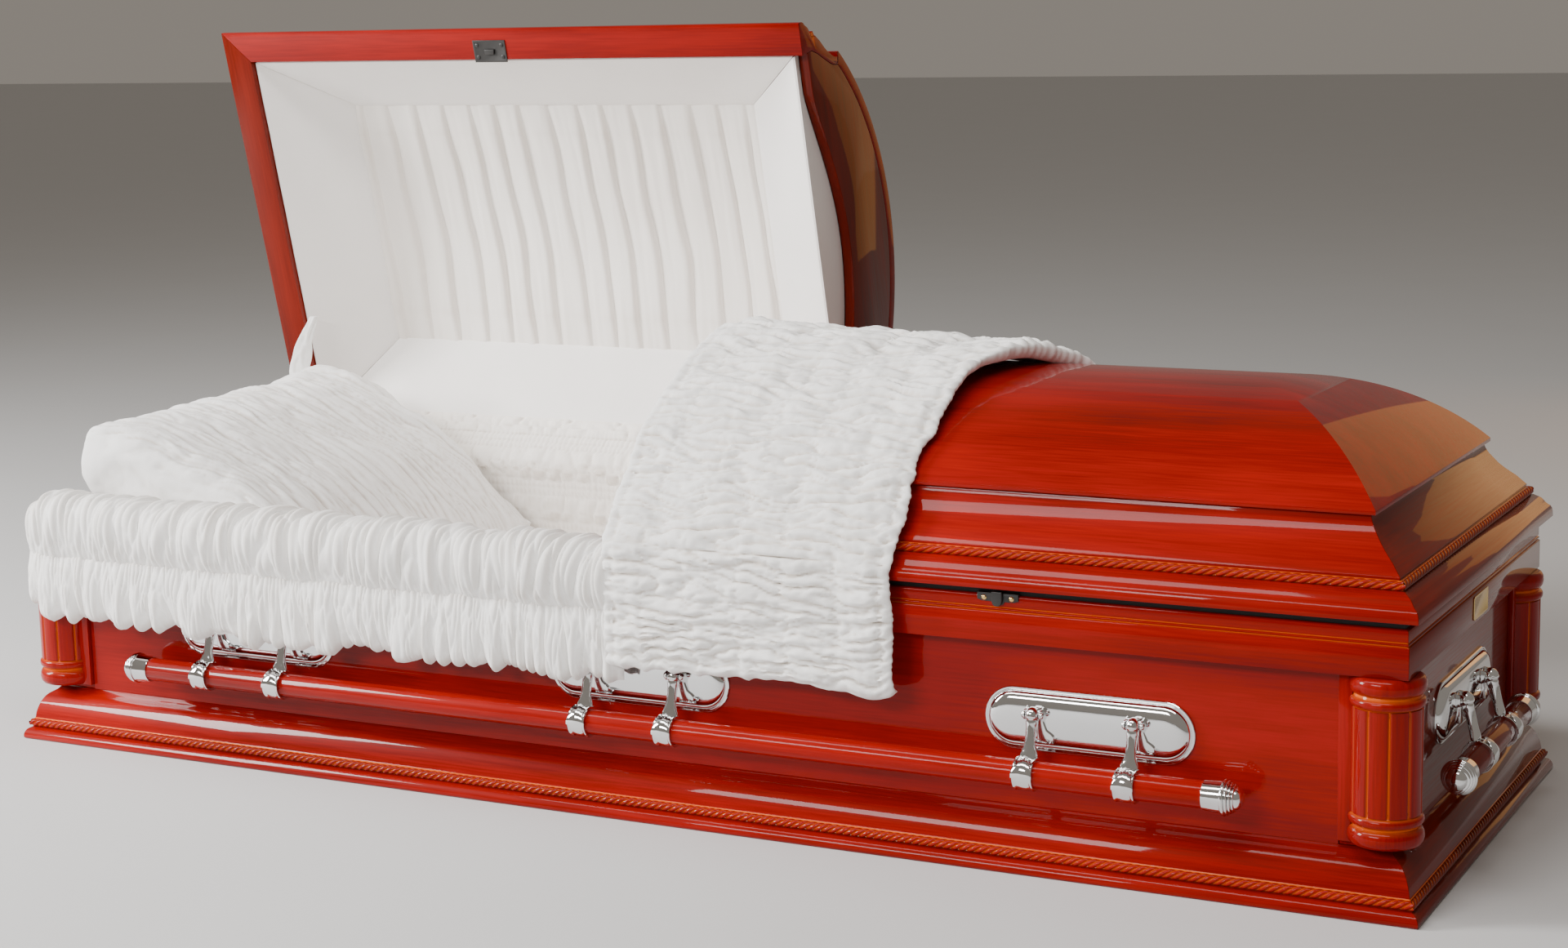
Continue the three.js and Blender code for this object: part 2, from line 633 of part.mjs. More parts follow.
// Throw over the foot lid: hangs down the front, covers the crown and turns over the cut end
function overlay() {
  const skin = 2.5;
  const rimFace = halfWidth - rimInset + skin;
  const hem = rimBottom - overlayDrop;
  const radius = crownRadius + skin;
  const first = Math.asin(arch.half / crownRadius);
  const last = -overlayBack / crownRadius;
  const steps = 11;
  const under = [[-rimFace, hem], [-rimFace, (hem + rimBottom) / 2], [-rimFace, rimBottom - 2],
    [-rimFace, rimBottom + 12]];
  for (let i = 0; i <= steps; i++) {
    const angle = first + ((last - first) * i) / steps;
    under.push([-radius * Math.sin(angle), arch.centre + radius * Math.cos(angle)]);
  }
  const over = under.map(([y, z], i) => {
    const [a, b] = [under[Math.max(0, i - 1)], under[Math.min(under.length - 1, i + 1)]];
    const size = Math.hypot(b[0] - a[0], b[1] - a[1]);
    return [y - ((b[1] - a[1]) / size) * overlayThickness, z + ((b[0] - a[0]) / size) * overlayThickness];
  });
  const turnedIn = under.map(([y, z]) => {
    const inner = Math.max(-(halfWidth - rimInside), Math.min(y, overlayBack));
    return z < rimBottom ? [y, z] : [inner, Math.min(z, headerEdge(inner) + 1)];
  });
  const face = (x, inner) => [...over, ...inner.slice().reverse()].map(([y, z]) => v(x, y, z));
  const flare = (i) => overlayReach - 12 + 55 * (i / (over.length - 1)) ** 2;
  const far = [...over.keys(), ...[...over.keys()].reverse()];
  const edge = face(0, under).map((p, i) => p.setX(flare(far[i])));
  return loft([face(-overlayTurn, turnedIn), face(-3, turnedIn), face(-2, under), edge]);
}

// Sleeved strap between the head end of the body and the open lid
function lidStay() {
  const turn = THREE.MathUtils.degToRad(openAngle);
  const foot = v(-(halfLength - liningInside) + 10, hinge.y - 114, railTop + 2);
  const top = v(foot.x - 6, hinge.y - stayReach * Math.cos(turn), hinge.z + stayReach * Math.sin(turn));
  const half = stayWidth / 2;
  const ring = (p, w) => [[-1, -1], [1, -1], [1, 1], [-1, 1]].map(([a, b]) => (
    v(p.x + (a * stayThickness) / 2, p.y + b * w, p.z)));
  const middle = foot.clone().lerp(top, 0.45);
  return loft([ring(foot, half), ring(middle, half * 1.15), ring(top, half * 0.45)]);
}

// Hinge strip: a leaf on the back rail and a barrel on the lids' axis
function lidHinge() {
  const leafTop = railTop + clearance + 2;
  const barrel = arc(hinge.y, hinge.z, hingeRadius, -70, 190, 7);
  const leaf = [[hinge.y - 6, leafTop], [hinge.y - 20, leafTop], [hinge.y - 20, railTop + clearance],
    [hinge.y - 3, railTop + clearance]];
  const end = halfLength - rimInset - hingeInset - 30;
  return loft([-end, end].map((x) => [...barrel, ...leaf].map(([y, z]) => v(x, y, z))));
}

function fittings() {
  const group = new THREE.Group();
  const face = halfLength - railInset + clearance;
  const middle = railBottom + 20;
  const plate = box(v(face, -namePlateLength / 2, middle - namePlateHeight / 2),
    v(face + namePlateThickness, namePlateLength / 2, middle + namePlateHeight / 2));
  group.add(mesh('name_plate', plate, materials.brass));
  const low = railTop + clearance;
  const front = railInset - halfWidth + 5;
  const block = box(v(latchPlace - latchLength / 2, front, low),
    v(latchPlace + latchLength / 2, front + latchWidth, low + 4));
  const hook = box(v(latchPlace - 9, front + 3, low + 3), v(latchPlace + 9, front + 12, low + 7.5));
  group.add(mesh('latch', join(block, hook), materials.black));
  group.add(mesh('lid_hinge', lidHinge(), materials.black));
  return group;
}

// A lid in its closed place; end is -1 for the head and 1 for the foot
function lid(name, end, side) {
  const group = new THREE.Group();
  const square = end < 0 ? { end: -cutX } : { start: cutX };
  group.add(mesh(`${name}_rim_front`, moulding('front', rimProfile(false), square), materials.wood));
  group.add(mesh(`${name}_rim_back`, moulding('back', rimProfile(true), square), materials.wood));
  group.add(mesh(`${name}_rim_${side}`, moulding(side, rimProfile(false)), materials.wood));
  group.add(mesh(`${name}_crown`, crown(end), materials.wood));
  group.add(mesh(`${name}_header`, header(end), materials.darkWood));
  return group;
}

// Turns what it holds about the hinge line
function hinged(contents, degrees) {
  const group = new THREE.Group();
  group.position.set(0, hinge.y, hinge.z);
  group.rotation.x = -THREE.MathUtils.degToRad(degrees);
  contents.position.set(0, -hinge.y, -hinge.z);
  return group.add(contents);
}

const casket = new THREE.Group();
casket.add(bodyWood(), bodyCloth(), fittings());
casket.add(mesh('front_apron', frontApron(), materials.cloth));
casket.add(mesh('lid_stay', lidStay(), materials.cloth));
for (const side of ['front', 'back', 'head', 'foot']) casket.add(handles(side));

const headLid = lid('head_lid', -1, 'head');
headLid.add(mesh('head_lid_border', liningBorder(-1), materials.cloth));
headLid.add(mesh('head_lid_panel', liningPanel(-1), materials.cloth));
const catchFront = rimInset - halfWidth + 8;
headLid.add(mesh('head_lid_catch', box(
  v(catchPlace - catchLength / 2, catchFront, rimBottom - clearance - catchThickness),
  v(catchPlace + catchLength / 2, catchFront + catchWidth, rimBottom - clearance),
), materials.black));
casket.add(hinged(headLid, openAngle));

const footLid = lid('foot_lid', 1, 'foot');
footLid.add(mesh('foot_lid_lining', liningTray(1), materials.cloth));
footLid.add(mesh('overlay', overlay(), materials.cloth));
casket.add(hinged(footLid, 0));

export default casket;
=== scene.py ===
import math
import bmesh
import bpy
from mathutils import Matrix, Vector, noise


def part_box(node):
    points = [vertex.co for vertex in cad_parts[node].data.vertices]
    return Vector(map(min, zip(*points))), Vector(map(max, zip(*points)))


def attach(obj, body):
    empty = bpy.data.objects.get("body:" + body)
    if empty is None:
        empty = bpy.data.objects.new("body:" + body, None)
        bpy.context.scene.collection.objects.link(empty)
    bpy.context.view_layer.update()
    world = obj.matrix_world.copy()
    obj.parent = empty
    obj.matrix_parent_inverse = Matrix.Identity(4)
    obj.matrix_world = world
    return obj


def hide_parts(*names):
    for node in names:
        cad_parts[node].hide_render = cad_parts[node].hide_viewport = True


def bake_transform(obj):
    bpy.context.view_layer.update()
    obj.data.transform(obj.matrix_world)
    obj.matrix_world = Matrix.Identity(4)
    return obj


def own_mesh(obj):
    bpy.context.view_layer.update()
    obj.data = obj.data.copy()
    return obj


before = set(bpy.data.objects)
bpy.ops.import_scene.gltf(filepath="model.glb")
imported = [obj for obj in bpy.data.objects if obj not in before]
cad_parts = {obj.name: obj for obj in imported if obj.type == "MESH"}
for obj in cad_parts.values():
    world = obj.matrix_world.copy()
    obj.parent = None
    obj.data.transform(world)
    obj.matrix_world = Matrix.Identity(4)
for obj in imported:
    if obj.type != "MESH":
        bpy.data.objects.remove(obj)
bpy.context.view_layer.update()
mm = 0.001
quarter = math.pi / 2

# Sizes that several pieces share, in millimetres
casket = {
    "halfLength": 1045, "halfWidth": 359, "baseTop": 76, "railBottom": 284.6, "railTop": 343,
    "rimBottom": 353, "coveTop": 461.4, "panelFace": 43, "panelInside": 61, "liningInside": 75.3,
    "cut": 1.1, "gap": 0.3, "mitre": 0.15, "openAngle": 76.8, "hingeY": 339.5, "hingeZ": 353,
}
halfLength, halfWidth = casket["halfLength"], casket["halfWidth"]
hingePoint = Vector((0, casket["hingeY"] * mm, casket["hingeZ"] * mm))
openTurn = (Matrix.Translation(hingePoint)
            @ Matrix.Rotation(-math.radians(casket["openAngle"]), 4, "X")
            @ Matrix.Translation(-hingePoint))


# Small tools. The lengths given to them are in millimetres

def metres(values):
    return [value * mm for value in values]


def clear():
    if bpy.context.object and bpy.context.object.mode != "OBJECT":
        bpy.ops.object.mode_set(mode="OBJECT")
    bpy.ops.object.select_all(action="DESELECT")


def named(name):
    piece = bpy.context.object
    piece.name = piece.data.name = name
    return piece


def use(piece):
    clear()
    piece.select_set(True)
    bpy.context.view_layer.objects.active = piece
    return piece


def editing(piece):
    use(piece)
    bpy.ops.object.mode_set(mode="EDIT")
    bpy.ops.mesh.select_mode(type="FACE")
    bpy.ops.mesh.select_all(action="SELECT")


def pick(piece, test, kind="FACE"):  # selects what passes the test, in edit mode
    use(piece)
    bpy.ops.object.mode_set(mode="EDIT")
    bpy.ops.mesh.select_mode(type=kind)
    bpy.ops.mesh.select_all(action="DESELECT")
    mesh = bmesh.from_edit_mesh(piece.data)
    for item in {"VERT": mesh.verts, "EDGE": mesh.edges, "FACE": mesh.faces}[kind]:
        if test(item):
            item.select_set(True)
    mesh.select_flush_mode()
    bmesh.update_edit_mesh(piece.data)


def outline(name, points, unit=mm):  # a flat face with these corners
    clear()
    bpy.ops.mesh.primitive_circle_add(vertices=len(points), radius=0.1, fill_type="NGON")
    piece = named(name)
    for corner, place in zip(piece.data.vertices, points):
        corner.co = Vector(place) * unit
    return piece


def pull(piece, by):  # the whole face along a line
    editing(piece)
    bpy.ops.mesh.extrude_region_move(TRANSFORM_OT_translate={"value": metres(by)})
    tidy(piece)


def tidy(piece, near=1e-5):
    editing(piece)
    bpy.ops.mesh.remove_doubles(threshold=near)
    bpy.ops.mesh.normals_make_consistent(inside=False)
    bpy.ops.object.mode_set(mode="OBJECT")


def cutOff(piece, at, keep, fill=True):  # keeps the side that the arrow points to
    editing(piece)
    bpy.ops.mesh.bisect(plane_co=metres(at), plane_no=keep, use_fill=fill, clear_inner=True)
    bpy.ops.object.mode_set(mode="OBJECT")


def change(piece, kind, **settings):  # adds one modifier and applies it
    use(piece)
    modifier = piece.modifiers.new(kind.title(), kind)
    for key, value in settings.items():
        setattr(modifier, key, value)
    bpy.ops.object.modifier_apply(modifier=modifier.name)


def bevel(piece, width, segments=2, angle=35):
    change(piece, "BEVEL", width=width * mm, segments=segments, limit_method="ANGLE",
           angle_limit=math.radians(angle), harden_normals=False, use_clamp_overlap=True)


def insets(steps):  # width and rise of each step, on the faces that are selected
    for width, rise in steps:
        bpy.ops.mesh.inset(thickness=width * mm, depth=rise * mm)


def block(name, points, by, edge, segments=2, angle=35):  # an outline with a thickness and soft edges
    piece = outline(name, points)
    pull(piece, by)
    bevel(piece, edge, segments, angle)
    return piece


def smooth(piece, angle=30):
    use(piece)
    bpy.ops.object.shade_smooth_by_angle(angle=math.radians(angle))


def together(name, pieces):
    clear()
    for piece in pieces:
        piece.select_set(True)
    bpy.context.view_layer.objects.active = pieces[0]
    bpy.ops.object.join()
    return named(name)


def copied(piece, name, move):
    other = piece.copy()
    other.data = piece.data.copy()
    bpy.context.scene.collection.objects.link(other)
    other.name = other.data.name = name
    other.data.transform(move)
    if move.determinant() < 0:
        tidy(other)
    return other


def stack(name, rings, corners=64, wave=None):  # rings of (radius, height) or (width, depth, height)
    rings = [metres(ring if len(ring) == 3 else (ring[0], *ring)) for ring in rings]
    wide, deep, height = rings[0]
    clear()
    bpy.ops.mesh.primitive_circle_add(vertices=corners, radius=1, fill_type="NGON")
    piece = named(name)
    for corner in piece.data.vertices:
        angle = math.atan2(corner.co.y, corner.co.x)
        share = wave(angle) if wave else 1
        corner.co = (corner.co.x * wide * share, corner.co.y * deep * share, height)
    editing(piece)
    for w, d, h in rings[1:]:
        bpy.ops.mesh.extrude_region_move(TRANSFORM_OT_translate={"value": (0, 0, h - height)})
        bpy.ops.transform.resize(value=(w / wide, d / deep, 1), center_override=(0, 0, h))
        wide, deep, height = w, d, h
    tidy(piece)
    return piece


def lathed(name, rings, corners, at, angle=0, axis="X"):  # a small turned piece, put in its place
    piece = stack(name, rings, corners)
    piece.data.transform(Matrix.Translation(Vector(at) * mm) @ Matrix.Rotation(angle, 4, axis))
    return piece


def bead(radius, out, low, high, steps=6):  # half-round ring between two heights
    middle, half = (low + high) / 2, (high - low) / 2
    return [(radius + out * math.sin(math.pi * i / steps), middle - half * math.cos(math.pi * i / steps))
            for i in range(steps + 1)]


def cloth(name, columns, rows, place):  # a grid whose corners are put in place one by one
    clear()
    bpy.ops.mesh.primitive_grid_add(x_subdivisions=columns, y_subdivisions=rows, size=2)
    piece = named(name)
    for corner in piece.data.vertices:
        corner.co = place((corner.co.x + 1) / 2, (corner.co.y + 1) / 2)
    return piece


def grooves(piece, amount):  # how deep in a recess each point lies, for the painted orange highlight
    layer = piece.data.attributes.new("groove", "FLOAT", "POINT")
    for corner, item in zip(piece.data.vertices, layer.data):
        item.value = amount(corner.co)


def paintFoldShade(piece, reach=10, depth=1.3):  # marks how far each point lies below the smoothed cloth, for the painted shade in the folds
    ghost = copied(piece, "ghost", Matrix())
    change(ghost, "SMOOTH", factor=0.5, iterations=reach)
    layer = piece.data.attributes.new("fold", "FLOAT", "POINT")
    for corner, flat, item in zip(piece.data.vertices, ghost.data.vertices, layer.data):
        item.value = min(1, max(0, (flat.co - corner.co).dot(corner.normal) / (depth * mm)))
    bpy.data.objects.remove(ghost)


def thicken(piece, thickness, offset=-1, angle=80):
    change(piece, "SOLIDIFY", thickness=thickness * mm, offset=offset)
    smooth(piece, angle)


def settle(piece, body, paint, nodes=()):
    clear()
    if paint is not None:
        piece.data.materials.clear()
        for finish in paint if isinstance(paint, list) else [paint]:
            piece.data.materials.append(finish)
    if body == "head_lid":
        piece.data.transform(openTurn)
    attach(piece, body)
    if nodes:
        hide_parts(*nodes)
    return piece


def mixed(a, b, share):
    return a + (b - a) * share


def puff(phase, sharp=0.55):  # rounded hump with a tight crease at each whole number
    return abs(math.sin(math.pi * phase)) ** sharp


def drift(x, y, z=0.0):
    return noise.noise(Vector((x, y, z)))


def crumple(x, y, z=0.0):  # round hills between sharp creases, about 0 to 1
    return min(1.0, 2.2 * abs(drift(x, y, z))) ** 0.8


class Line:  # a smooth line through points, measured along its length
    def __init__(self, points, fine=8):
        ends = [points[0], *points, points[-1]]
        self.at = []
        for i in range(1, len(ends) - 2):
            a, b, c, d = (Vector(p) for p in ends[i - 1:i + 3])
            for k in range(fine):
                t = k / fine
                self.at.append(0.5 * ((2 * b) + (c - a) * t + (2 * a - 5 * b + 4 * c - d) * t * t
                                      + (3 * b - a - 3 * c + d) * t ** 3))
        self.at.append(Vector(points[-1]))
        self.run = [0.0]
        for a, b in zip(self.at, self.at[1:]):
            self.run.append(self.run[-1] + (b - a).length)
        self.length = self.run[-1]

    def place(self, share):  # the point there, and which way is out of the surface
        want = min(max(share, 0), 1) * self.length
        low, high = 0, len(self.run) - 1
        while high - low > 1:
            middle = (low + high) // 2
            low, high = (middle, high) if self.run[middle] <= want else (low, middle)
        a, b = self.at[low], self.at[high]
        part = (want - self.run[low]) / max(self.run[high] - self.run[low], 1e-9)
        way = (b - a).normalized()
        return a.lerp(b, part), Vector((0, -way.z, way.y))


# Camera, floor and lights

view = {"at": (1.788, -3.305, 1.059), "yaw": -27.667, "pitch": 9.898, "roll": -1.2655,
        "lens": 62.38, "film": 36}
lamps = {  # place, aim, size, power and tint
    "overhead": ((-0.3, -1.5, 3.2), (-0.1, 0, 0.4), (4.4, 0.6), 88, (1, 0.98, 0.96)),
    "left": ((-3.9, -1.9, 2.1), (-0.4, 0, 0.5), (1.2, 1.8), 290, (1, 0.99, 0.98)),
    "front": ((-1.2, -5.4, 3.0), (0, 0, 0.3), (3.0, 1.0), 195, (1, 0.99, 0.98)),
    "amber": ((1.4, 3.7, 1.3), (0.8, 0, 0.4), (1.3, 1.9), 6, (1, 0.42, 0.06)),
}
studio = {"floorSize": 60, "floor": (0.62, 0.62, 0.62, 1), "sky": (1, 0.90, 0.79, 1), "skyStrength": 0.25}


def makeCamera():
    yaw, pitch, roll = (math.radians(view[k]) for k in ("yaw", "pitch", "roll"))
    ahead = Vector((math.sin(yaw) * math.cos(pitch), math.cos(yaw) * math.cos(pitch), -math.sin(pitch)))
    right = Vector((math.cos(yaw), -math.sin(yaw), 0))
    up = right.cross(ahead)
    across = right * math.cos(roll) + up * math.sin(roll)
    top = up * math.cos(roll) - right * math.sin(roll)
    clear()
    bpy.ops.object.camera_add()
    camera = named("camera")
    camera.matrix_world = (Matrix.Translation(Vector(view["at"]))
                           @ Matrix((across, top, -ahead)).transposed().to_4x4())
    camera.data.sensor_width, camera.data.lens = view["film"], view["lens"]
    camera.data.clip_end = 100
    bpy.context.scene.camera = camera


def makeStudio():
    for name, (at, to, size, power, tint) in lamps.items():
        clear()
        bpy.ops.object.light_add(type="AREA", location=at)
        light = named(name)
        light.data.shape = "RECTANGLE"
        light.data.size, light.data.size_y = size
        light.data.energy, light.data.color = power, tint
        light.rotation_euler = (Vector(to) - Vector(at)).to_track_quat("-Z", "Y").to_euler()
    clear()
    bpy.ops.mesh.primitive_plane_add(size=studio["floorSize"], location=(0, 0, 0))
    floor = named("floor")
    floor.data.materials.append(plain("floor_paint", studio["floor"], 0.8))
    world = bpy.context.scene.world or bpy.data.worlds.new("world")
    bpy.context.scene.world = world
    world.use_nodes = True
    back = world.node_tree.nodes.get("Background") or world.node_tree.nodes.new("ShaderNodeBackground")
    back.inputs["Color"].default_value = studio["sky"]
    back.inputs["Strength"].default_value = studio["skyStrength"]


# Materials

class Shade:  # a node's output that can be added, multiplied and mixed
    def __init__(self, tree, socket=None):
        self.tree, self.socket = tree, socket

    def node(self, kind, settings=None, sockets=None, out=0):
        made = self.tree.nodes.new(kind)
        for key, value in (settings or {}).items():
            if key == "stops":
                while len(made.color_ramp.elements) < len(value):
                    made.color_ramp.elements.new(0.5)
                for element, (place, colour) in zip(made.color_ramp.elements, value):
                    element.position, element.color = place, colour
            else:
                setattr(made, key, value)
        for key, value in (sockets or {}).items():
            if isinstance(value, Shade):
                self.tree.links.new(value.socket, made.inputs[key])
            else:
                made.inputs[key].default_value = value
        return Shade(self.tree, made.outputs[out])

    def maths(self, operation, other):
        return self.node("ShaderNodeMath", {"operation": operation}, {0: self, 1: other})

    def __add__(self, other):
        return self.maths("ADD", other)

    def __mul__(self, other):
        return self.maths("MULTIPLY", other)

    __radd__, __rmul__ = __add__, __mul__

    def colour(self, low, high):  # this value picks between two colours
        return self.node("ShaderNodeMix", {"data_type": "RGBA"}, {0: self, 6: low, 7: high}, 2)

    def held(self, low, high):  # stretched from low..high to 0..1
        return self.node("ShaderNodeMapRange", {"clamp": True}, {0: self, 1: low, 2: high})

    def noisy(self, scale, detail=3, rough=0.5):
        return self.node("ShaderNodeTexNoise", {},
                         {"Vector": self, "Scale": scale, "Detail": detail, "Roughness": rough})

    def mapped(self, scale=(1, 1, 1), turn=(0, 0, 0)):
        return self.node("ShaderNodeMapping", {}, {"Vector": self, "Rotation": turn, "Scale": scale})

    def stored(self, name):  # a value kept on the points of the mesh
        return self.node("ShaderNodeAttribute", {"attribute_name": name}, out=2)

    def bump(self, strength, distance):
        return self.node("ShaderNodeBump", {}, {"Strength": strength, "Distance": distance, "Height": self})


def paint(name, constants):
    made = bpy.data.materials.new(name)
    made.use_nodes = True
    shader = made.node_tree.nodes["Principled BSDF"]
    for key, value in constants.items():
        shader.inputs[key].default_value = value
    place = Shade(made.node_tree).node("ShaderNodeTexCoord", out=3)

    def feed(values):
        for key, value in values.items():
            made.node_tree.links.new(value.socket, shader.inputs[key])
        return made
    return place, feed


def toned(colour, times, more=0):
    return *(part * times + more for part in colour[:3]), 1


def plain(name, colour, roughness):
    place, feed = paint(name, {"Roughness": roughness})
    return feed({"Base Color": place.noisy(3).colour(colour, toned(colour, 0.97))})


woods = {
    "face": ((0.080, 0.0014, 0.0004, 1), (0.42, 0.0040, 0.0007, 1)),
    "end": ((0.055, 0.0034, 0.0006, 1), (0.26, 0.0120, 0.0014, 1)),
    # the bright orange colour mixed into recesses is a painted highlight
    "grooveHighlight": (0.90, 0.16, 0.010, 1), "coat": 0.9, "coatRoughness": 0.03, "coatBending": 1.26,
    "streaks": (1.3, 26, 26), "pores": (12, 380, 380), "boardStreaks": (2, 60, 60),
    "board": ((0.33, 0.17, 0.075, 1), (0.52, 0.33, 0.17, 1)),
}


def glossWood(name, turn=(0, 0, 0), tone="face"):
    place, feed = paint(name, {
        "Coat Weight": woods["coat"], "Coat Roughness": woods["coatRoughness"],
        "Coat IOR": woods["coatBending"], "Specular IOR Level": 0.05})
    along = place.mapped(turn=turn)
    cloudy = place.noisy(2.1, 2).held(0.3, 0.72)
    grain = along.mapped(woods["streaks"]).noisy(1.0, 5, 0.62).held(0.28, 0.74)
    fine = along.mapped(woods["pores"]).noisy(1.0, 2, 0.5).held(0.35, 0.7)
    body = (cloudy * 0.42 + grain * 0.38 + fine * 0.2).colour(*woods[tone])
    # painted highlight: recesses are mixed towards bright orange
    paintedHighlight = place.stored("groove") * (0.75 + grain * 0.25)
    return feed({"Base Color": paintedHighlight.colour(body, woods["grooveHighlight"]), "Roughness": 0.36 + fine * 0.12,
                 "Normal": (cloudy * 0.5 + grain * 0.25).bump(0.05, 0.0004)})


def bareWood(name):
    place, feed = paint(name, {"Specular IOR Level": 0.3})
    grain = place.mapped(woods["boardStreaks"]).noisy(1.0, 5, 0.6)
    return feed({"Base Color": grain.colour(*woods["board"]), "Roughness": 0.55 + grain * 0.2,
                 "Normal": grain.bump(0.3, 0.0006)})


def polished(name, colour, roughness):
    place, feed = paint(name, {"Metallic": 1})
    wiped = place.noisy(38)
    scuffs = place.noisy(900, 2).held(0.45, 0.75)
    return feed({"Base Color": wiped.colour(colour, toned(colour, 0.93)),
                 "Roughness": roughness + wiped * 0.06 + scuffs * 0.02, "Normal": scuffs.bump(0.03, 0.0002)})


def matte(name, colour, roughness):
    place, feed = paint(name, {})
    dust = place.noisy(120, 4)
    return feed({"Base Color": dust.colour(colour, toned(colour, 1.8, 0.004)),
                 "Roughness": roughness + dust * 0.15, "Normal": place.noisy(600).bump(0.2, 0.0003)})


cloths = {"deep": (0.66, 0.59, 0.52, 1), "threads": 420, "wander": 0.6}  # painted shade colour deep in a fold, and the weave


def whiteCloth(name, light, dark, sheen=0.12, relief=0.25):
    place, feed = paint(name, {"Sheen Weight": sheen, "Sheen Roughness": 0.4, "Specular IOR Level": 0.25})
    clouded = place.noisy(9).held(0.35, 0.7)
    slubs = place.noisy(300)
    weave = {"Vector": place, "Scale": cloths["threads"], "Distortion": cloths["wander"]}
    warp, weft = (place.node("ShaderNodeTexWave", {"bands_direction": way}, weave) for way in ("X", "DIAGONAL"))
    ground = (clouded * 0.7 + slubs * 0.3).colour(dark, light)
    # painted shade: the base colour darkens towards the deep colour where the cloth lies below its smoothed
    # form
    return feed({"Base Color": (place.stored("fold") * 0.8).colour(ground, cloths["deep"]),
                 "Roughness": 0.78 + slubs * 0.14,
                 "Normal": (warp * 0.4 + weft * 0.4 + slubs * 0.4).bump(relief, 0.0003)})


woodAlong = glossWood("gloss_wood_along")
woodAcross = glossWood("gloss_wood_across", (0, 0, quarter), "end")
woodUp = glossWood("gloss_wood_upright", (0, quarter, 0))
woodOpen = glossWood("gloss_wood_open_end", (math.radians(casket["openAngle"]), 0, quarter), "end")
woodBar = glossWood("gloss_wood_bar")
raw = bareWood("bare_board")
chrome = polished("chrome", (0.83, 0.835, 0.84, 1), 0.03)
brass = polished("brass", (0.78, 0.55, 0.22, 1), 0.16)
blackMetal = matte("black_fitting", (0.012, 0.011, 0.01, 1), 0.35)
rubber = matte("gasket", (0.006, 0.006, 0.006, 1), 0.7)
liningCloth = whiteCloth("lining_cloth", (0.96, 0.925, 0.875, 1), (0.91, 0.865, 0.81, 1))
borderCloth = whiteCloth("border_cloth", (0.94, 0.92, 0.895, 1), (0.90, 0.875, 0.85, 1), 0.08, 0.1)
throwCloth = whiteCloth("throw_cloth", (0.96, 0.952, 0.935, 1), (0.91, 0.90, 0.88, 1), 0.1)
pillowCloth = whiteCloth("pillow_cloth", (0.95, 0.945, 0.935, 1), (0.90, 0.89, 0.875, 1), 0.1)
makeCamera()
makeStudio()
print("camera, lights and materials are in place")


# Mouldings

sides = {  # half run, distance from the middle, turn about the upright axis
    side: (half, offset, Matrix.Rotation(math.radians(turn), 4, "Z")) for side, half, offset, turn in (
        ("front", halfLength, halfWidth, 0), ("foot", halfWidth, halfLength, 90),
        ("back", halfLength, halfWidth, 180), ("head", halfWidth, halfLength, -90))
}
crowns = {"radius": 412.7, "centre": 164.5, "half": 281.5, "low": 461.7, "wall": 16, "steps": 44,
          "hipRadius": 311.4, "hipCentre": 265.8, "hipInset": 315.8, "edgeInset": 77.5}


def innerArch(z):  # half the width inside the crown at this height
    return math.sqrt((crowns["radius"] - crowns["wall"]) ** 2 - (z - crowns["centre"]) ** 2)


profiles = {  # inset from the nose of the base, height
    "base": [(2, 0), (0, 2), (0, 6), (1.2, 9.6), (3, 13), (5.2, 15), (8, 16), (10.5, 17.4), (12.6, 20),
             (13.4, 23.5), (13.2, 27), (12.4, 30), (13.4, 31), (14.2, 36), (15.1, 40.5), (16.5, 45),
             (18.1, 49.6), (20, 54), (22.3, 58.2), (25, 62), (28.2, 65.2), (32, 67.5), (38, 71.2),
             (42.6, 75.9), (43, 76), (61, 76), (61, 0)],
    "rail": [(21, 284.6), (21, 321), (21.6, 322.4), (24, 323.2), (22.4, 324.2), (21.7, 325.5), (22.4, 326.8),
             (24, 327.8), (22.5, 328.6), (22.5, 339), (23, 341.6), (25, 343), (42.7, 343), (42.7, 284.6)],
    "rim": [(7.5, 353), (7.8, 359), (8.6, 364), (10.6, 367.8), (13.8, 370.6), (16.4, 373.6), (18.6, 377),
            (21, 379.8), (24, 382), (26.6, 383.4), (29, 385), (31.6, 385.6), (34, 387.4), (35.4, 390.8),
            (35.4, 394), (34.6, 396.2), (37.5, 396.8), (37, 398.4), (37, 399.8), (42, 405.4), (48, 412.4),
            (54.6, 418.4), (61.3, 424.6), (68, 431.8), (74, 440), (78.4, 446), (82, 452.5), (83.6, 457),
            (84.3, 461.4), (halfWidth - innerArch(461.4), 461.4), (91.7, 445), (85.7, 434), (74.7, 417),
            (62.7, 399), (55, 383), (55, 353)],
}
ropes = {"base": (12, 23.5, 6, 10.6), "rim": (34.3, 390.8, 5.8, 12.4)}  # inset, height, radius, run of a strand
# profile points that get the painted orange highlight
highlightedPoints = {"base": [(12.6, 20), (13.2, 27), (12.4, 30)], "rail": [(24, 323.2), (24, 327.8)],
           "rim": [(34, 387.4), (35.4, 390.8), (35.4, 394), (34.6, 396.2)]}
ropeShape = {"corners": 24, "strands": 4, "lobe": 0.40, "steps": 4}


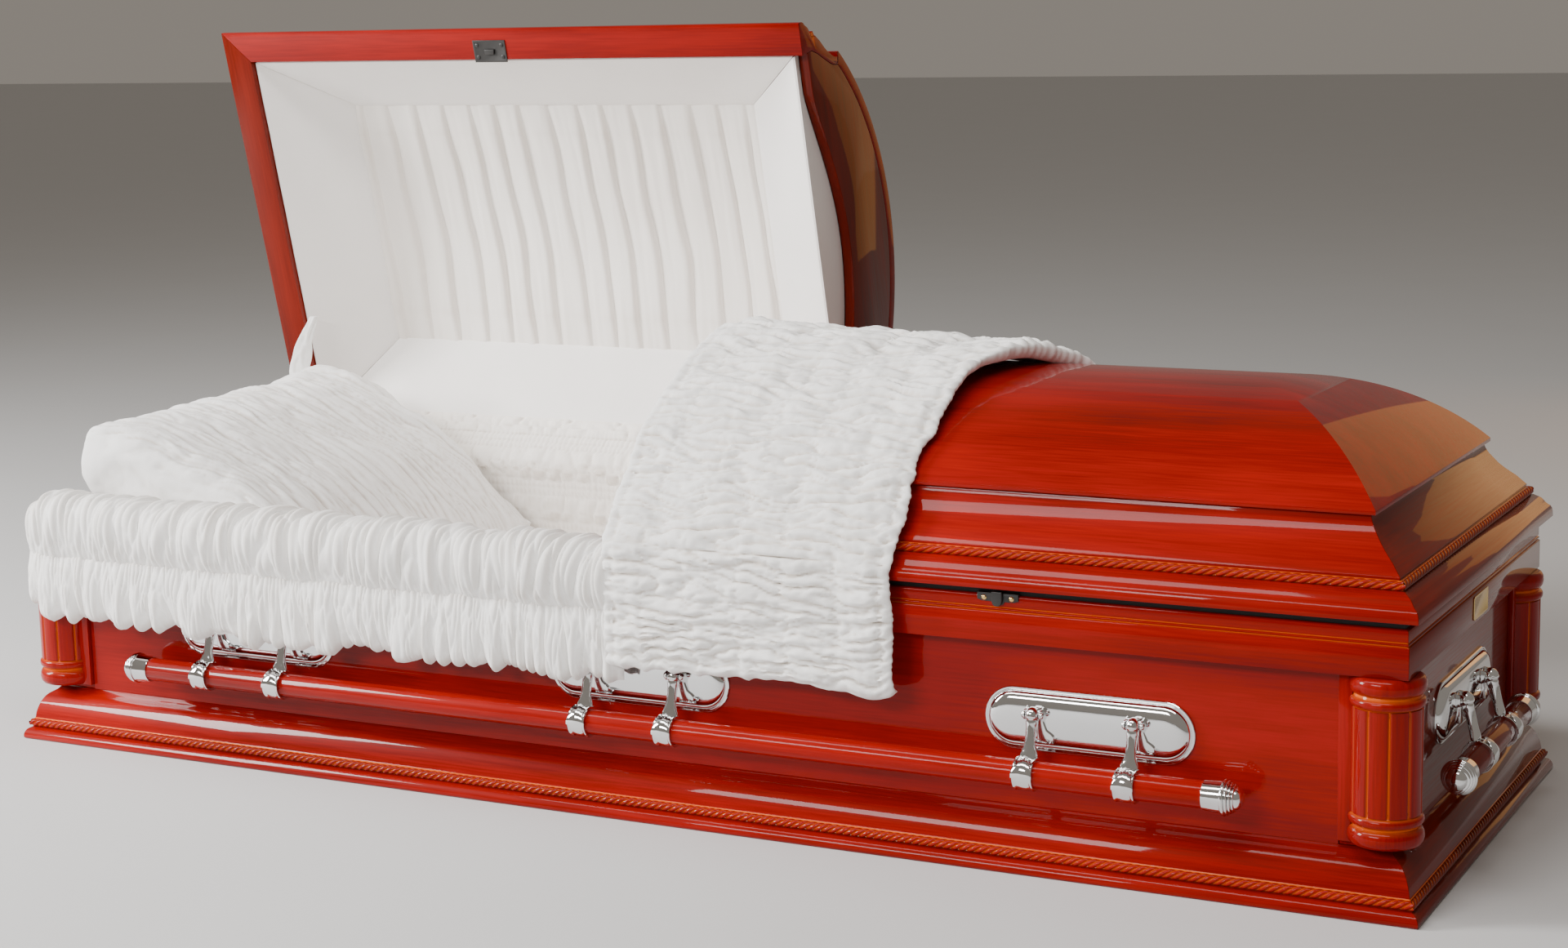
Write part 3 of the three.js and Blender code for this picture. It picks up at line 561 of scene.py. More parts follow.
def ropeLength(kind, half, offset):
    inset, height, radius, turn = ropes[kind]
    corners, strands = ropeShape["corners"], ropeShape["strands"]
    middle = Vector((0, (inset - offset) * mm, height * mm))
    points = []
    for i in range(corners):
        angle = 2 * math.pi * i / corners
        size = radius * mm * (1 - ropeShape["lobe"] * (1 - abs(math.cos(strands / 2 * angle)) ** 0.6))
        points.append(middle + Vector((-half * mm, size * math.cos(angle), size * math.sin(angle))))
    rope = outline("rope", points, 1)
    pick(rope, lambda face: True)
    bpy.ops.mesh.delete(type="ONLY_FACE")
    bpy.ops.mesh.select_mode(type="EDGE")
    bpy.ops.mesh.select_all(action="SELECT")
    step = turn / ropeShape["steps"]
    for i in range(ropeShape["steps"]):
        bpy.ops.mesh.extrude_edges_move(TRANSFORM_OT_translate={"value": (step * mm, 0, 0)})
        bpy.ops.transform.rotate(value=2 * math.pi / strands / ropeShape["steps"], orient_axis="X",
                                 center_override=middle)
    bpy.ops.object.mode_set(mode="OBJECT")
    change(rope, "ARRAY", count=math.ceil(2 * half / turn) + 1, use_relative_offset=False,
           use_constant_offset=True, constant_offset_displace=(turn * mm, 0, 0),
           use_merge_vertices=True, merge_threshold=2e-5)
    tidy(rope)
    low = radius * mm * (1 - ropeShape["lobe"])
    # painted highlight in the valleys between the strands
    grooves(rope, lambda at: max(0, 1 - ((at - middle).yz.length - low) / (radius * mm - low)) ** 2.6)
    return rope


def cutEnds(part, side, cuts, gap=0, fill=True):  # a mitre, or a square cut where a place is given
    half, offset, _ = sides[side]
    slant = math.sqrt(0.5)
    for way, cut in zip((1, -1), cuts):
        if cut is None:
            cutOff(part, (-way * (half - gap), -offset, 0), (way * slant, -slant, 0), fill)
        else:
            cutOff(part, (cut, 0, 0), (way, 0, 0))


def endGrain(body):
    return woodOpen if body == "head_lid" else woodAcross


def moulding(name, kind, side, body, node, cuts=(None, None)):
    half, offset, turn = sides[side]
    over = 5  # the ends are cut off later
    start = Vector(metres((-half - over, -offset, 0)))
    piece = outline(name, [start + Vector(metres((0, t, z))) for t, z in profiles[kind]], 1)
    pull(piece, (2 * half + 2 * over, 0, 0))
    # the listed profile points get the painted highlight
    marks = [Vector((t - offset, z)) * mm for t, z in highlightedPoints[kind]]
    grooves(piece, lambda at: 0.9 if any((at.yz - mark).length < 1e-5 for mark in marks) else 0)
    parts = [piece] + ([ropeLength(kind, half, offset)] if kind in ropes else [])
    for part in parts:
        cutEnds(part, side, cuts, casket["mitre"], part is piece)
    bevel(piece, 0.5)
    for part in parts:
        smooth(part, 40)
    piece = together(name, parts)
    piece.data.transform(turn)
    finish = woodAlong if side in ("front", "back") else endGrain(body)
    settle(piece, body, finish, [node])


for side in sides:
    moulding(f"base_mould_{side}", "base", side, "base", f"base_moulding_{side}")
    moulding(f"rail_{side}", "rail", side, "base", f"top_rail_{side}")
cut = casket["cut"]
for lid, side, cuts in (("head", "front", (None, -cut)), ("head", "back", (cut, None)),
                        ("head", "head", (None, None)), ("foot", "front", (cut, None)),
                        ("foot", "back", (None, -cut)), ("foot", "foot", (None, None))):
    moulding(f"{lid}_rim_{side}", "rim", side, f"{lid}_lid", f"{lid}_lid_rim_{side}", cuts)
print("mouldings and ropes are made")


# Crowns and headers of the lids

def crown(name, end, body, node):
    size = crowns
    first = math.asin(size["half"] / size["radius"])
    levels = [(size["half"], size["low"], size["edgeInset"])]
    for i in range(size["steps"] + 1):
        angle = first * (1 - i / size["steps"])
        z = size["centre"] + size["radius"] * math.cos(angle)
        inset = size["hipInset"] - math.sqrt(max(0, size["hipRadius"] ** 2 - (z - size["hipCentre"]) ** 2))
        levels.append((max(size["radius"] * math.sin(angle), 0.01), z, inset))
    y, z, t = levels[0]
    reach = halfLength - t
    start = casket["cut"]
    piece = outline(name, ((start, -y, z), (reach, -y, z), (reach, y, z), (start, y, z)))
    editing(piece)
    for wide, high, inset in levels[1:]:
        bpy.ops.mesh.extrude_region_move(TRANSFORM_OT_translate={"value": (0, 0, (high - z) * mm)})
        bpy.ops.transform.resize(value=((halfLength - inset - start) / (reach - start), wide / y, 1),
                                 center_override=(start * mm, 0, high * mm))
        y, z, reach = wide, high, halfLength - inset
    tidy(piece, 3e-5)
    pick(piece, lambda face: abs(face.calc_center_median().x - start * mm) < 1e-5 or face.normal.z < -0.9)
    bpy.ops.mesh.delete(type="FACE")
    bpy.ops.object.mode_set(mode="OBJECT")
    change(piece, "SOLIDIFY", thickness=size["wall"] * mm, offset=-1, use_even_offset=True)
    for face in piece.data.polygons:
        face.material_index = 1 if abs(face.normal.x) > 0.02 and face.center.x > 0.5 else 0
    bevel(piece, 0.8, 3, 24)
    smooth(piece, 26)
    if end < 0:
        piece.data.transform(Matrix.Scale(-1, 4, (1, 0, 0)))
        piece.data.flip_normals()
    settle(piece, body, [woodAlong, endGrain(body)], [node])


headers = {"lift": 17, "arch": 60, "half": 244, "thickness": 15, "steps": 40, "rimWall": 55, "clear": 0.6}


def headerEdge(y):  # height of the lower edge
    share = min(1, abs(y) / headers["half"])
    return casket["rimBottom"] + headers["lift"] + headers["arch"] * math.cos(share * math.pi / 2) ** 1.2


def header(name, end, body, node):
    steps, half = headers["steps"], headers["half"]
    lower = [half * (1 - 2 * i / steps) for i in range(steps + 1)]
    flank = [(halfWidth - headers["rimWall"] - casket["gap"], headerEdge(half))]
    flank += [(halfWidth - t - headers["clear"], z) for t, z in profiles["rim"][-6:-1]][::-1]
    radius = crowns["radius"] - crowns["wall"] - casket["gap"]
    widest = math.asin(innerArch(casket["coveTop"]) / radius)
    turns = [widest * (2 * i / steps - 1) for i in range(steps + 1)]
    points = ([(y, headerEdge(y)) for y in lower] + [(-y, z) for y, z in flank]
              + [(radius * math.sin(turn), crowns["centre"] + radius * math.cos(turn)) for turn in turns]
              + flank[::-1])
    piece = block(name, [(end * casket["cut"], y, z) for y, z in points],
                  (end * headers["thickness"], 0, 0), 1.2, 3, 50)
    smooth(piece, 30)
    settle(piece, body, endGrain(body), [node])


for lid, end in (("head", -1), ("foot", 1)):
    crown(f"{lid}_crown", end, f"{lid}_lid", f"{lid}_lid_crown")
    header(f"{lid}_header", end, f"{lid}_lid", f"{lid}_lid_header")
print("crowns and headers are made")


# Corner columns

columns = {"radius": 44.6, "inset": 53.2, "foot": 7, "reeds": 10, "groove": 2.8, "grooveWidth": 1.5,
           "shaft": 41.1, "shaftEnd": 38, "hollows": (23.4, 38.6), "postEnd": 105.8, "behind": 2,
           "strip": 16, "proud": 9}


def column(name):  # the front foot corner; the others are copies
    size = columns
    r, base = size["radius"], casket["baseTop"] + size["foot"]
    top = casket["railBottom"] - casket["gap"]
    rings = [(r - 9, 0), *bead(r - 6.5, 6.5, 0, 22), (r - 6, 23.2), *bead(r - 5, 4.4, 25, 37),
             (r - 6, 38.5), (r - 6, 44)]
    lower = stack("column_low", [(a, base + h) for a, h in rings], 72)
    upper = stack("column_high", [(a, top - h) for a, h in rings[::-1]], 72)
    for part, edge, way in ((lower, base, 1), (upper, top, -1)):
        # painted highlight in the hollows between the rings
        grooves(part, lambda at: max(math.exp(-((way * (at.z / mm - edge) - h) / 2.0) ** 2)
                                     for h in size["hollows"]))

    def reed(angle):
        phase = (angle / (2 * math.pi) * size["reeds"]) % 1
        off = min(phase, 1 - phase) / size["reeds"] * 2 * math.pi * size["shaft"]
        return 1 - size["groove"] / size["shaft"] * math.exp(-(off / size["grooveWidth"]) ** 2)
    ends = base + size["shaftEnd"], top - size["shaftEnd"]
    shaft = stack("column_shaft", [(size["shaft"], height) for height in ends], 240, reed)
    bottom = size["shaft"] - size["groove"]
    # painted highlight in the reed grooves
    grooves(shaft, lambda at: max(0, 1 - (at.xy.length / mm - bottom) / size["groove"]) ** 2)
    parts = [lower, shaft, upper]
    inner = casket["panelInside"] - size["inset"]
    for part in parts:  # the corner of the box is cut out of each
        clear()
        bpy.ops.mesh.primitive_cube_add(size=1, location=(0.15 + inner * mm, 0.15 + inner * mm, 0.2))
        tool = named("corner_tool")
        tool.scale = (0.3, 0.3, 0.6)
        change(part, "BOOLEAN", object=tool, operation="DIFFERENCE", solver="EXACT")
        bpy.data.objects.remove(tool)
    near, far = casket["panelFace"] + size["behind"] - size["inset"], size["postEnd"] - size["inset"]
    floor, ceiling = casket["baseTop"] + casket["gap"], casket["railTop"]
    low, high = near - size["proud"], near + 1
    boards = ((near, near, far, inner, floor, ceiling), (near, near, inner, far, floor, ceiling),
              (far - size["strip"], low, far, high, base, top),
              (low, far - size["strip"], high, far, base, top))
    for i, (x0, y0, x1, y1, z0, z1) in enumerate(boards):
        corners = (x0, y0, z0), (x1, y0, z0), (x1, y1, z0), (x0, y1, z0)
        parts.append(block(f"leg_{i}", corners, (0, 0, z1 - z0), 0.8))
    for part in parts:
        smooth(part, 38)
    return together(name, parts)


pattern = column("column_pattern")
for end, sx in (("head", -1), ("foot", 1)):
    for side, sy in (("front", -1), ("back", 1)):
        place = sx * (halfLength - columns["inset"]) * mm, sy * (halfWidth - columns["inset"]) * mm, 0
        move = Matrix.Translation(place) @ Matrix.Diagonal((-sx, -sy, 1, 1))
        corner = copied(pattern, f"corner_{side}_{end}", move)
        settle(corner, "base", woodUp, [f"column_{side}_{end}"])
bpy.data.objects.remove(pattern)
print("columns are made")


# Handles

handle = {"plateLength": 270, "plateHeight": 78, "plateCentre": 187, "arms": 129, "pivotZ": 198,
          "pivotOut": 22, "barZ": 129.5, "barOut": 41, "barRadius": 16.5, "frontBar": 1676, "endBar": 384}
plateSteps = [(0.7, 0.7), (2.0, 0.1), (0.7, -0.8), (0.9, 0.0), (0.5, 1.35), (0.8, 1.7), (1.4, 1.8),
              (2.2, 1.7), (3.2, 1.45), (4.0, 1.0), (4.6, 0.7), (5.0, 0.45), (5.4, 0.3), (4.4, 0.1)]
lugShapes = {
    "earGap": 9.4, "earThickness": 2.2,
    "stop": [(0, 8), (5, 2), (8, -10), (12, -20), (18, -24), (21, -27), (21, -33), (9, -35), (0, -33)],
    "pin": [(4.2, 0), (4.3, 0.7), (3.8, 1.9), (2.6, 2.9), (1.1, 3.4), (0.2, 3.5)],
    "screw": [(2.9, 0), (2.9, 1.2), (2.3, 2.2), (1.0, 2.8), (0.2, 2.9)],
}


def plate(name):
    half, radius = handle["plateLength"] / 2, handle["plateHeight"] / 2
    turns = [(end, math.pi * (i / 32 - 0.5)) for end in (1, -1) for i in range(33)]
    piece = outline(name, [(end * (half - radius + radius * math.cos(angle)), -casket["gap"],
                            end * radius * math.sin(angle)) for end, angle in turns])
    editing(piece)
    bpy.ops.mesh.extrude_region_move(TRANSFORM_OT_translate={"value": (0, -1.9 * mm, 0)})
    insets(plateSteps)
    tidy(piece)
    if max(corner.co.y for corner in piece.data.vertices) > 0:  # the steps went into the panel
        piece.data.transform(Matrix.Scale(-1, 4, (0, 1, 0)))
        piece.data.flip_normals()
    smooth(piece, 40)
    return piece


def lugs(name):  # forks with pin heads, and a stop with its screw, for one plate
    out, level = handle["pivotOut"], handle["pivotZ"] - handle["plateCentre"]
    ear = [(-10, 8.5), (-out + 2, 6.8), (-out - 2, 5.4), (-out - 4, 2.6), (-out - 4.6, 0), (-out - 4, -2.6),
           (-out - 2, -5.4), (-out + 3, -7.2), (-10, -11)]
    parts = []
    for x in (-handle["arms"] / 2, handle["arms"] / 2):
        for way in (-1, 1):
            start = x + way * lugShapes["earGap"]
            parts.append(block("ear", [(start, y, level + z) for y, z in ear],
                               (way * lugShapes["earThickness"], 0, 0), 0.6))
            place = start + way * 2.1, -out, level
            parts.append(lathed("pin", lugShapes["pin"], 20, place, way * quarter, "Y"))
        parts.append(block("stop", [(x + 3 + a, -3, level + b) for a, b in lugShapes["stop"]],
                           (0, -12, 0), 1.2, 3))
        parts.append(lathed("screw", lugShapes["screw"], 16, (x + 20, -10, level - 26)))
    for part in parts:
        smooth(part, 40)
    return together(name, parts)


armShapes = {
    "ball": 10.2, "ballBand": (-0.5, -0.2), "ribWidth": 2.4, "ribRise": 1.2,
    "leafLength": 26, "leafWidth": 13.4,
    "shank": [(7.6, 7.6, -6), (8.0, 8.0, -10), (7.2, 7.2, -12), (6.9, 6.6, -16), (6.6, 6.0, -24),
              (6.8, 5.7, -32), (7.8, 5.7, -39), (9.8, 5.9, -44), (11.6, 5.9, -48), (12.2, 5.4, -52),
              (11.6, 4.6, -56)],
    "collar": [(0.9, -12.8), (1.6, -11.8), (1.4, -10.4), (0.2, -9.2), (0, -8.4), (1.0, -5), (1.3, 0)],
}


def arm(name):  # hangs from the pivot at the origin down to the bar
    drop, lean = handle["pivotZ"] - handle["barZ"], handle["barOut"] - handle["pivotOut"]
    reach = math.hypot(lean, drop)
    clear()
    bpy.ops.mesh.primitive_uv_sphere_add(segments=36, ring_count=20, radius=armShapes["ball"] * mm)
    ball = named("ball")
    ball.data.transform(Matrix.Diagonal((0.86, 1, 1, 1)))
    low, high = armShapes["ballBand"]
    pick(ball, lambda face: low < face.calc_center_median().z / 0.0106 < high)
    insets([(0.5, 0.6)])
    bpy.ops.object.mode_set(mode="OBJECT")
    shank = stack("shank", armShapes["shank"], 32)
    for corner in shank.data.vertices:  # raised rib down the front
        if corner.co.z < -0.013 and corner.co.y < 0:
            rib = math.exp(-(corner.co.x / (armShapes["ribWidth"] * mm)) ** 2)
            corner.co.y -= armShapes["ribRise"] * mm * rib
    inner, outer = handle["barRadius"] + 0.35, handle["barRadius"] + 2.6
    half = [(outer + a, h) for a, h in armShapes["collar"]]
    section = [(inner, -12.6), *half, *((a, -h) for a, h in half[-2::-1]), (inner, 12.6), (inner, -12.6)]
    collar = stack("collar", section, 56)
    pick(collar, lambda face: len(face.verts) > 8)
    bpy.ops.mesh.delete(type="FACE")
    tidy(collar)
    collar.data.transform(Matrix.Translation((0, 0, -reach * mm)) @ Matrix.Rotation(quarter, 4, "Y"))
    tall, wide = armShapes["leafLength"], armShapes["leafWidth"]

    def place(u, v):  # a scalloped leaf that wraps the collar below the shank
        across = 2 * u - 1
        rim = 1 - 0.22 * (1 - abs(math.cos(2.5 * math.pi * across)) ** 0.6)
        arc = v * tall * (1 - 0.42 * across * across) * mixed(1, rim, v)
        side = across * wide * (1 - 0.42 * max(0, v - 0.35) ** 1.2) * mixed(1, 0.97, v)
        angle = (arc - 6) / outer
        hump = 1.8 * (1 - abs(across)) ** 0.7 + 1.1 * math.sin(math.pi * v) * (1 - across * across)
        rise = outer + 1.4 + hump
        return Vector((side, -rise * math.cos(angle), rise * math.sin(angle) - reach)) * mm
    leaf = cloth("leaf", 24, 16, place)
    thicken(leaf, 1.2, 0, 40)
    parts = [ball, shank, collar, leaf]
    for part in parts[:3]:
        smooth(part, 40)
    piece = together(name, parts)
    piece.data.transform(Matrix.Rotation(-math.atan2(lean, drop), 4, "X"))
    return piece


def barTips(name, total):  # sleeve and stepped dome at both ends
    profile = [(16.7, 48), (17.6, 48), (18.2, 47.3), (19.4, 26), (19.6, 24.6)]
    for radius, out, low, high, steps in ((20.4, 1.9, 19.4, 24.4, 8), (19.0, 1.9, 15.6, 19.4, 6),
                                          (17.0, 1.9, 12.0, 15.6, 6), (14.6, 1.8, 8.8, 12.0, 6)):
        profile += bead(radius, out, low, high, steps)[::-1]
    profile += [(13.4, 8.6), (13.1, 6.8), (11.9, 4.6), (9.8, 2.6), (7.0, 1.1), (3.6, 0.3), (0.4, 0)]
    tips = [lathed("tip", profile, 48, (end * total / 2, 0, 0), -end * quarter, "Y") for end in (-1, 1)]
    for tip in tips:
        smooth(tip, 35)
    return together(name, tips)


def rod(name, total):
    half, radius = total / 2, handle["barRadius"]
    piece = lathed(name, [(radius - 0.5, 20 - half), (radius, 21 - half), (radius, half - 21),
                          (radius - 0.5, half - 20)], 48, (0, 0, 0), quarter, "Y")
    smooth(piece, 40)
    return piece


plateMaster, lugMaster, armMaster = plate("plate_master"), lugs("lug_master"), arm("arm_master")
stations = {"front": [-630, 0, 630], "back": [630, 0, -630], "head": [0], "foot": [0]}
for side, (half, offset, turn) in sides.items():
    outward = turn @ Matrix.Translation((0, -(offset - casket["panelFace"]) * mm, 0))
    labels = ("_head", "_middle", "_foot") if len(stations[side]) > 1 else ("",)
    body = f"{side}_bar"
    armParts = []
    for x, label in zip(stations[side], labels):
        move = outward @ Matrix.Translation(Vector((x, 0, handle["plateCentre"])) * mm)
        backing = copied(plateMaster, f"{side}_plate{label}", move)
        forks = copied(lugMaster, f"{side}_lugs{label}", move)
        backing = together(f"{side}_plate{label}", [backing, forks])
        settle(backing, "base", chrome, [f"{side}_handle_plate{label}"])
        for off in (-handle["arms"] / 2, handle["arms"] / 2):
            hang = outward @ Matrix.Translation(Vector((x + off, -handle["pivotOut"], handle["pivotZ"])) * mm)
            armParts.append(copied(armMaster, f"{side}_hanger_{len(armParts) + 1}", hang))
    total = handle["frontBar"] if len(stations[side]) > 1 else handle["endBar"]
    line = outward @ Matrix.Translation(Vector((0, -handle["barOut"], handle["barZ"])) * mm)
    wooden, tips = rod(f"{side}_rod", total), barTips(f"{side}_tips", total)
    for part in (wooden, tips):
        part.data.transform(line)
    for i, part in enumerate(armParts):
        nodes = [f"{side}_arm_{i + 1}"] if side in ("front", "foot") else []
        settle(part, body, chrome, nodes)
    settle(wooden, body, woodBar if side in ("front", "back") else woodAcross, [body])
    settle(tips, body, chrome, ())
for master in (plateMaster, lugMaster, armMaster):
    bpy.data.objects.remove(master)
print("handles are made")


# Small fittings

def fittings():
    low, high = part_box("name_plate")
    middle, half = (low + high) / 2, (high - low) / 2
    rim = [(-1, -0.86), (-0.94, -1), (0.94, -1), (1, -0.86), (1, 0.86), (0.94, 1), (-0.94, 1), (-1, 0.86)]
    piece = outline("bare_plate", [(low.x, middle.y + a * half.y, middle.z + b * half.z) for a, b in rim], 1)
    pull(piece, ((high.x - low.x) / mm, 0, 0))
    pick(piece, lambda face: face.normal.x > 0.9)
    insets([(2.2, 0), (0.5, -0.25)])
    bevel(piece, 0.25, 2, 50)
    smooth(piece, 30)
    settle(piece, "base", brass, ["name_plate"])
    seal = [(27, 343.1), (40, 343.1), (40, 350.5), (36, 352.7), (30, 352.7), (27, 350.5)]
    strips = []
    for side, cuts in (("front", (2, None)), ("foot", (None, None))):
        half, offset, turn = sides[side]
        strip = outline("strip", [(-half, t - offset, z) for t, z in seal])
        pull(strip, (2 * half, 0, 0))
        cutEnds(strip, side, cuts)
        strip.data.transform(turn)
        strips.append(strip)
    sealing = together("lid_seal", strips)
    bevel(sealing, 0.8)
    smooth(sealing, 40)
    settle(sealing, "base", rubber, ())


def latch():  # black keeper on the rail, under the lid, with a rounded hook
    x, y, top = 521, -(halfWidth - 22.5), casket["railTop"] + 1
    ends = [(-27, 0), (27, 0), (27, -7), (21, -9), (9, -9), (6, -13), (-6, -13), (-9, -9), (-21, -9), (-27, -7)]
    rounded = [(-7, 4), (7, 4), (7, -8), (5.6, -12), (2.4, -14.4), (-2.4, -14.4), (-5.6, -12), (-7, -8)]
    parts = [block("keeper", [(x + a, y, top + b) for a, b in ends], (0, -2, 0), 0.5, 2, 40),
             block("keeper_lip", [(x + a, y - 2 + b, top) for a, b in ((-27, 0), (27, 0), (27, 22), (-27, 22))],
                   (0, 0, 1.4), 0.4, 2, 40),
             block("hook", [(x + a, y - 2, top + b) for a, b in rounded], (0, -4.2, 0), 1.3, 4, 40)]
    for part in parts:
        part.data.materials.append(blackMetal)
    for a in (-18, 18):
        head = lathed("screw", ((3.4, 0), (3.4, 0.5), (2.6, 1.3), (1.2, 1.8), (0.2, 1.9)), 20,
                      (x + a, y - 1.8, top - 4.6), quarter)
        head.data.materials.append(brass)
        parts.append(head)
    piece = together("rail_latch", parts)
    smooth(piece, 40)
    settle(piece, "base", None, ["latch"])


def catch():  # plate with four screws and a tongue, on the open lid
    x, y, z = -531, -317, casket["rimBottom"] - 0.4
    piece = outline("catch_plate", [(x + a, y + b, z) for a, b in ((-29, -17), (29, -17), (29, 17), (-29, 17))])
    pull(piece, (0, 0, -1.2))
    pick(piece, lambda face: face.normal.z < -0.9)
    insets([(2.2, 0), (1.0, -0.5)])
    bevel(piece, 0.3, 2, 50)
    tongue = [(x - 9, y - 3, z - 1), (x + 9, y - 3, z - 1), (x + 7.5, y + 5, z - 1), (x - 7.5, y + 5, z - 1)]
    parts = [piece, block("tongue", tongue, (0, 0, -2.6), 0.7, 3, 50)]
    for a, b in ((-22, -9), (22, -9), (-22, 9), (22, 9)):
        parts.append(lathed("screw", ((3.2, 0), (3.2, 0.35), (2.6, 0.8), (0.4, 0.95)), 20,
                            (x + a, y + b, z - 1), math.pi))
    whole = together("catch_plate", parts)
    smooth(whole, 35)
    settle(whole, "head_lid", blackMetal, ["head_lid_catch"])


fittings()
latch()
catch()
for name, finish in (("panel_front", woodAlong), ("panel_back", woodAlong), ("panel_head", woodAcross),
                     ("panel_foot", woodAcross), ("bottom_board", raw), ("lid_hinge", blackMetal)):
    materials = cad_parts[name].data.materials
    materials.clear()
    materials.append(finish)
print("fittings are made")


# Linings of the lids

lining = {"border": 100, "rise": 107, "endRun": 135, "thickness": 5, "crown": 20, "pleats": 15, "pleatRise": 10,
          "inset": 57, "raised": 9, "hollow": 5, "seam": 0.002, "fullness": 1.25}


def lidLining(lid, end):  # covered boards and a pleated cloth between them
    name = f"{lid}_lid"
    outerX, nearX = halfLength - lining["inset"], casket["cut"] + headers["thickness"] + 1
    outerY = halfWidth - lining["inset"]
    low = casket["rimBottom"] + lining["raised"]
    high = low + lining["rise"]
    innerX, innerY, nearInner = outerX - lining["border"], outerY - lining["border"], nearX + lining["endRun"]

    def around(x0, x1, y, z):
        return [Vector((end * x, side, z)) * mm for x, side in ((x0, -y), (x1, -y), (x1, y), (x0, y))]

    def seamed(points, i):  # one edge, drawn in a little at both ends
        p, q = points[i], points[(i + 1) % 4]
        return p.lerp(q, lining["seam"]), q.lerp(p, lining["seam"])

    def board(label, below, above, columns):
        def place(u, v):
            point = below[0].lerp(below[1], u).lerp(above[0].lerp(above[1], u), v)
            soft = -lining["hollow"] * math.sin(math.pi * v) * min(1, 12 * u, 12 * (1 - u))
            ripple = 0.6 * drift(point.x * 14, point.y * 14, 3)
            return point - Vector((0, 0, (soft + ripple) * mm))
        piece = cloth(label, columns, 14, place)
        change(piece, "SOLIDIFY", thickness=lining["thickness"] * mm, offset=0)
        bevel(piece, 1.2, 2, 50)
        smooth(piece, 50)
        return piece
    corners, tops = around(nearX + 2, outerX, outerY, low), around(nearInner, innerX, innerY, high)
    boards = [board(f"{name}_board_{label}", seamed(corners, i), seamed(tops, i), columns)
              for i, (label, columns) in enumerate((("front", 60), ("end", 40), ("back", 60), ("near", 40)))]

    def returned(u, v):  # the cloth goes from the near board back up to the header
        y = mixed(1 - outerY, outerY - 1, u)
        top = max(low + 1.5, headerEdge(y) + 2)
        return Vector((end * (nearX + 1.2 + 0.5 * v), y, mixed(low - 2, top, v))) * mm
    back = cloth(f"{name}_return", 60, 10, returned)
    thicken(back, 1.6, 0, 50)
    border = together(f"{lid}_border", boards + [back])
    settle(border, name, borderCloth, ["head_lid_border" if end < 0 else "foot_lid_lining"])

    def pleated(u, v):
        x = mixed(nearInner - 8, innerX + 10, u)
        y = mixed(-innerY - 8, innerY + 8, v)
        lean = 0.35 * drift(v * 1.3, 2.2) + 0.10 * drift(v * 4, u * 9, 5)
        phase = u * lining["pleats"] + lean + 0.22 * drift(u * 6, 7.7) - 0.5
        step = 1 - phase % 1
        fold = step ** 0.75 * (1 - step ** 14)  # each tuck lies over the next one
        size = lining["pleatRise"] * (0.8 + 0.45 * abs(drift(math.floor(phase) * 3.7, v * 1.1)))
        size *= min(1, u * 60, (1 - u) * 60) * min(1, 0.45 + 4 * v, 0.45 + 4 * (1 - v))
        fine = 1.0 * drift(x * 0.05, y * 0.006, 1.5) + 0.8 * drift(x * 0.11, y * 0.01, 4.5)
        hollow = math.sin(math.pi * v) * min(1, math.sin(math.pi * u) * 3)
        return Vector((end * x, y, high + 1 + lining["crown"] * hollow - size * fold - fine)) * mm
    panel = cloth(f"{name}_pleats", *((440, 44) if end < 0 else (300, 26)), pleated)
    if end < 0:
        panel.data.flip_normals()
    # painted shade in the folds
    paintFoldShade(panel, 14, 1.6)
    thicken(panel, 2, 0, 50)
    settle(panel, name, liningCloth, ["head_lid_panel"] if end < 0 else ())
    wide, long = (innerX - nearInner + 20) * mm, (2 * innerY + 20) * mm
    wide * lining["fullness"]


lidLining("head", -1)
lidLining("foot", 1)
print("lid linings are made")


# Cloth inside the body

walls = {"loose": 40, "small": 13, "gather": 8.5, "thickness": 3, "low": 150}


def shirred(x, z, seed):  # loose rows between pairs of small tight ones, gathered along each stitched line
    loose, small = walls["loose"], walls["small"]
    rise = (z + 14 + 1.6 * drift(x * 0.012, seed)) % (loose + 2 * small)
    row = rise / loose if rise < loose else (rise - loose) / small % 1
    near = 1 - puff(row, 0.8)
    level = math.floor(z / 33) * 5.1
    tight = puff(x / walls["gather"] + 0.6 * drift(x * 0.03, level, seed), 0.7) - 0.5
    if rise >= loose:
        return 1.6 * puff(row, 0.6) + 1.7 * tight + 1.0 * drift(x * 0.03, z * 0.03, seed + 3)
    flow = x + 15 * (row - 0.5) + 7 * drift(x * 0.02, row * 1.2, seed)
    folds = crumple(flow / 27, row * 0.5 + level, seed) - 0.4
    return (4.6 * puff(row, 0.6) + (0.5 + 1.4 * near ** 2) * tight + 5.0 * folds * (1 - near ** 2)
            + 1.0 * drift(x * 0.03, z * 0.03, seed + 3))


def wallLining():
    parts = {}
    for seed, (side, (half, offset, turn)) in enumerate(sides.items()):
        half, offset = half - casket["liningInside"], offset - casket["liningInside"]

        def place(u, v):
            x, z = mixed(-half, half, u), mixed(walls["low"], casket["railTop"] - 1, v)
            edge = min(1, 30 * v, 30 * (1 - v), 40 * u, 40 * (1 - u))
            return Vector((x, -offset - 2 + shirred(x * stretch, z, seed * 11.0) * edge, z)) * mm
        columns, rows, stretch = {"front": (320, 30, 0.6), "back": (660, 44, 1)}.get(side, (110, 30, 0.6))
        part = cloth(f"wall_{side}", columns, rows, place)
        # painted shade in the folds
        paintFoldShade(part, 8, 1.2)
        thicken(part, walls["thickness"], -1, 60)
        part.data.transform(turn)
        parts[side] = part
    back = parts.pop("back")
    rest = together("wall_cloth", list(parts.values()))
    for piece, flat, panel in ((back, (2.0, 0.24), "panel_back"), (rest, (3.4, 0.24), "panel_front")):
        settle(piece, "base", liningCloth, ["body_lining"])


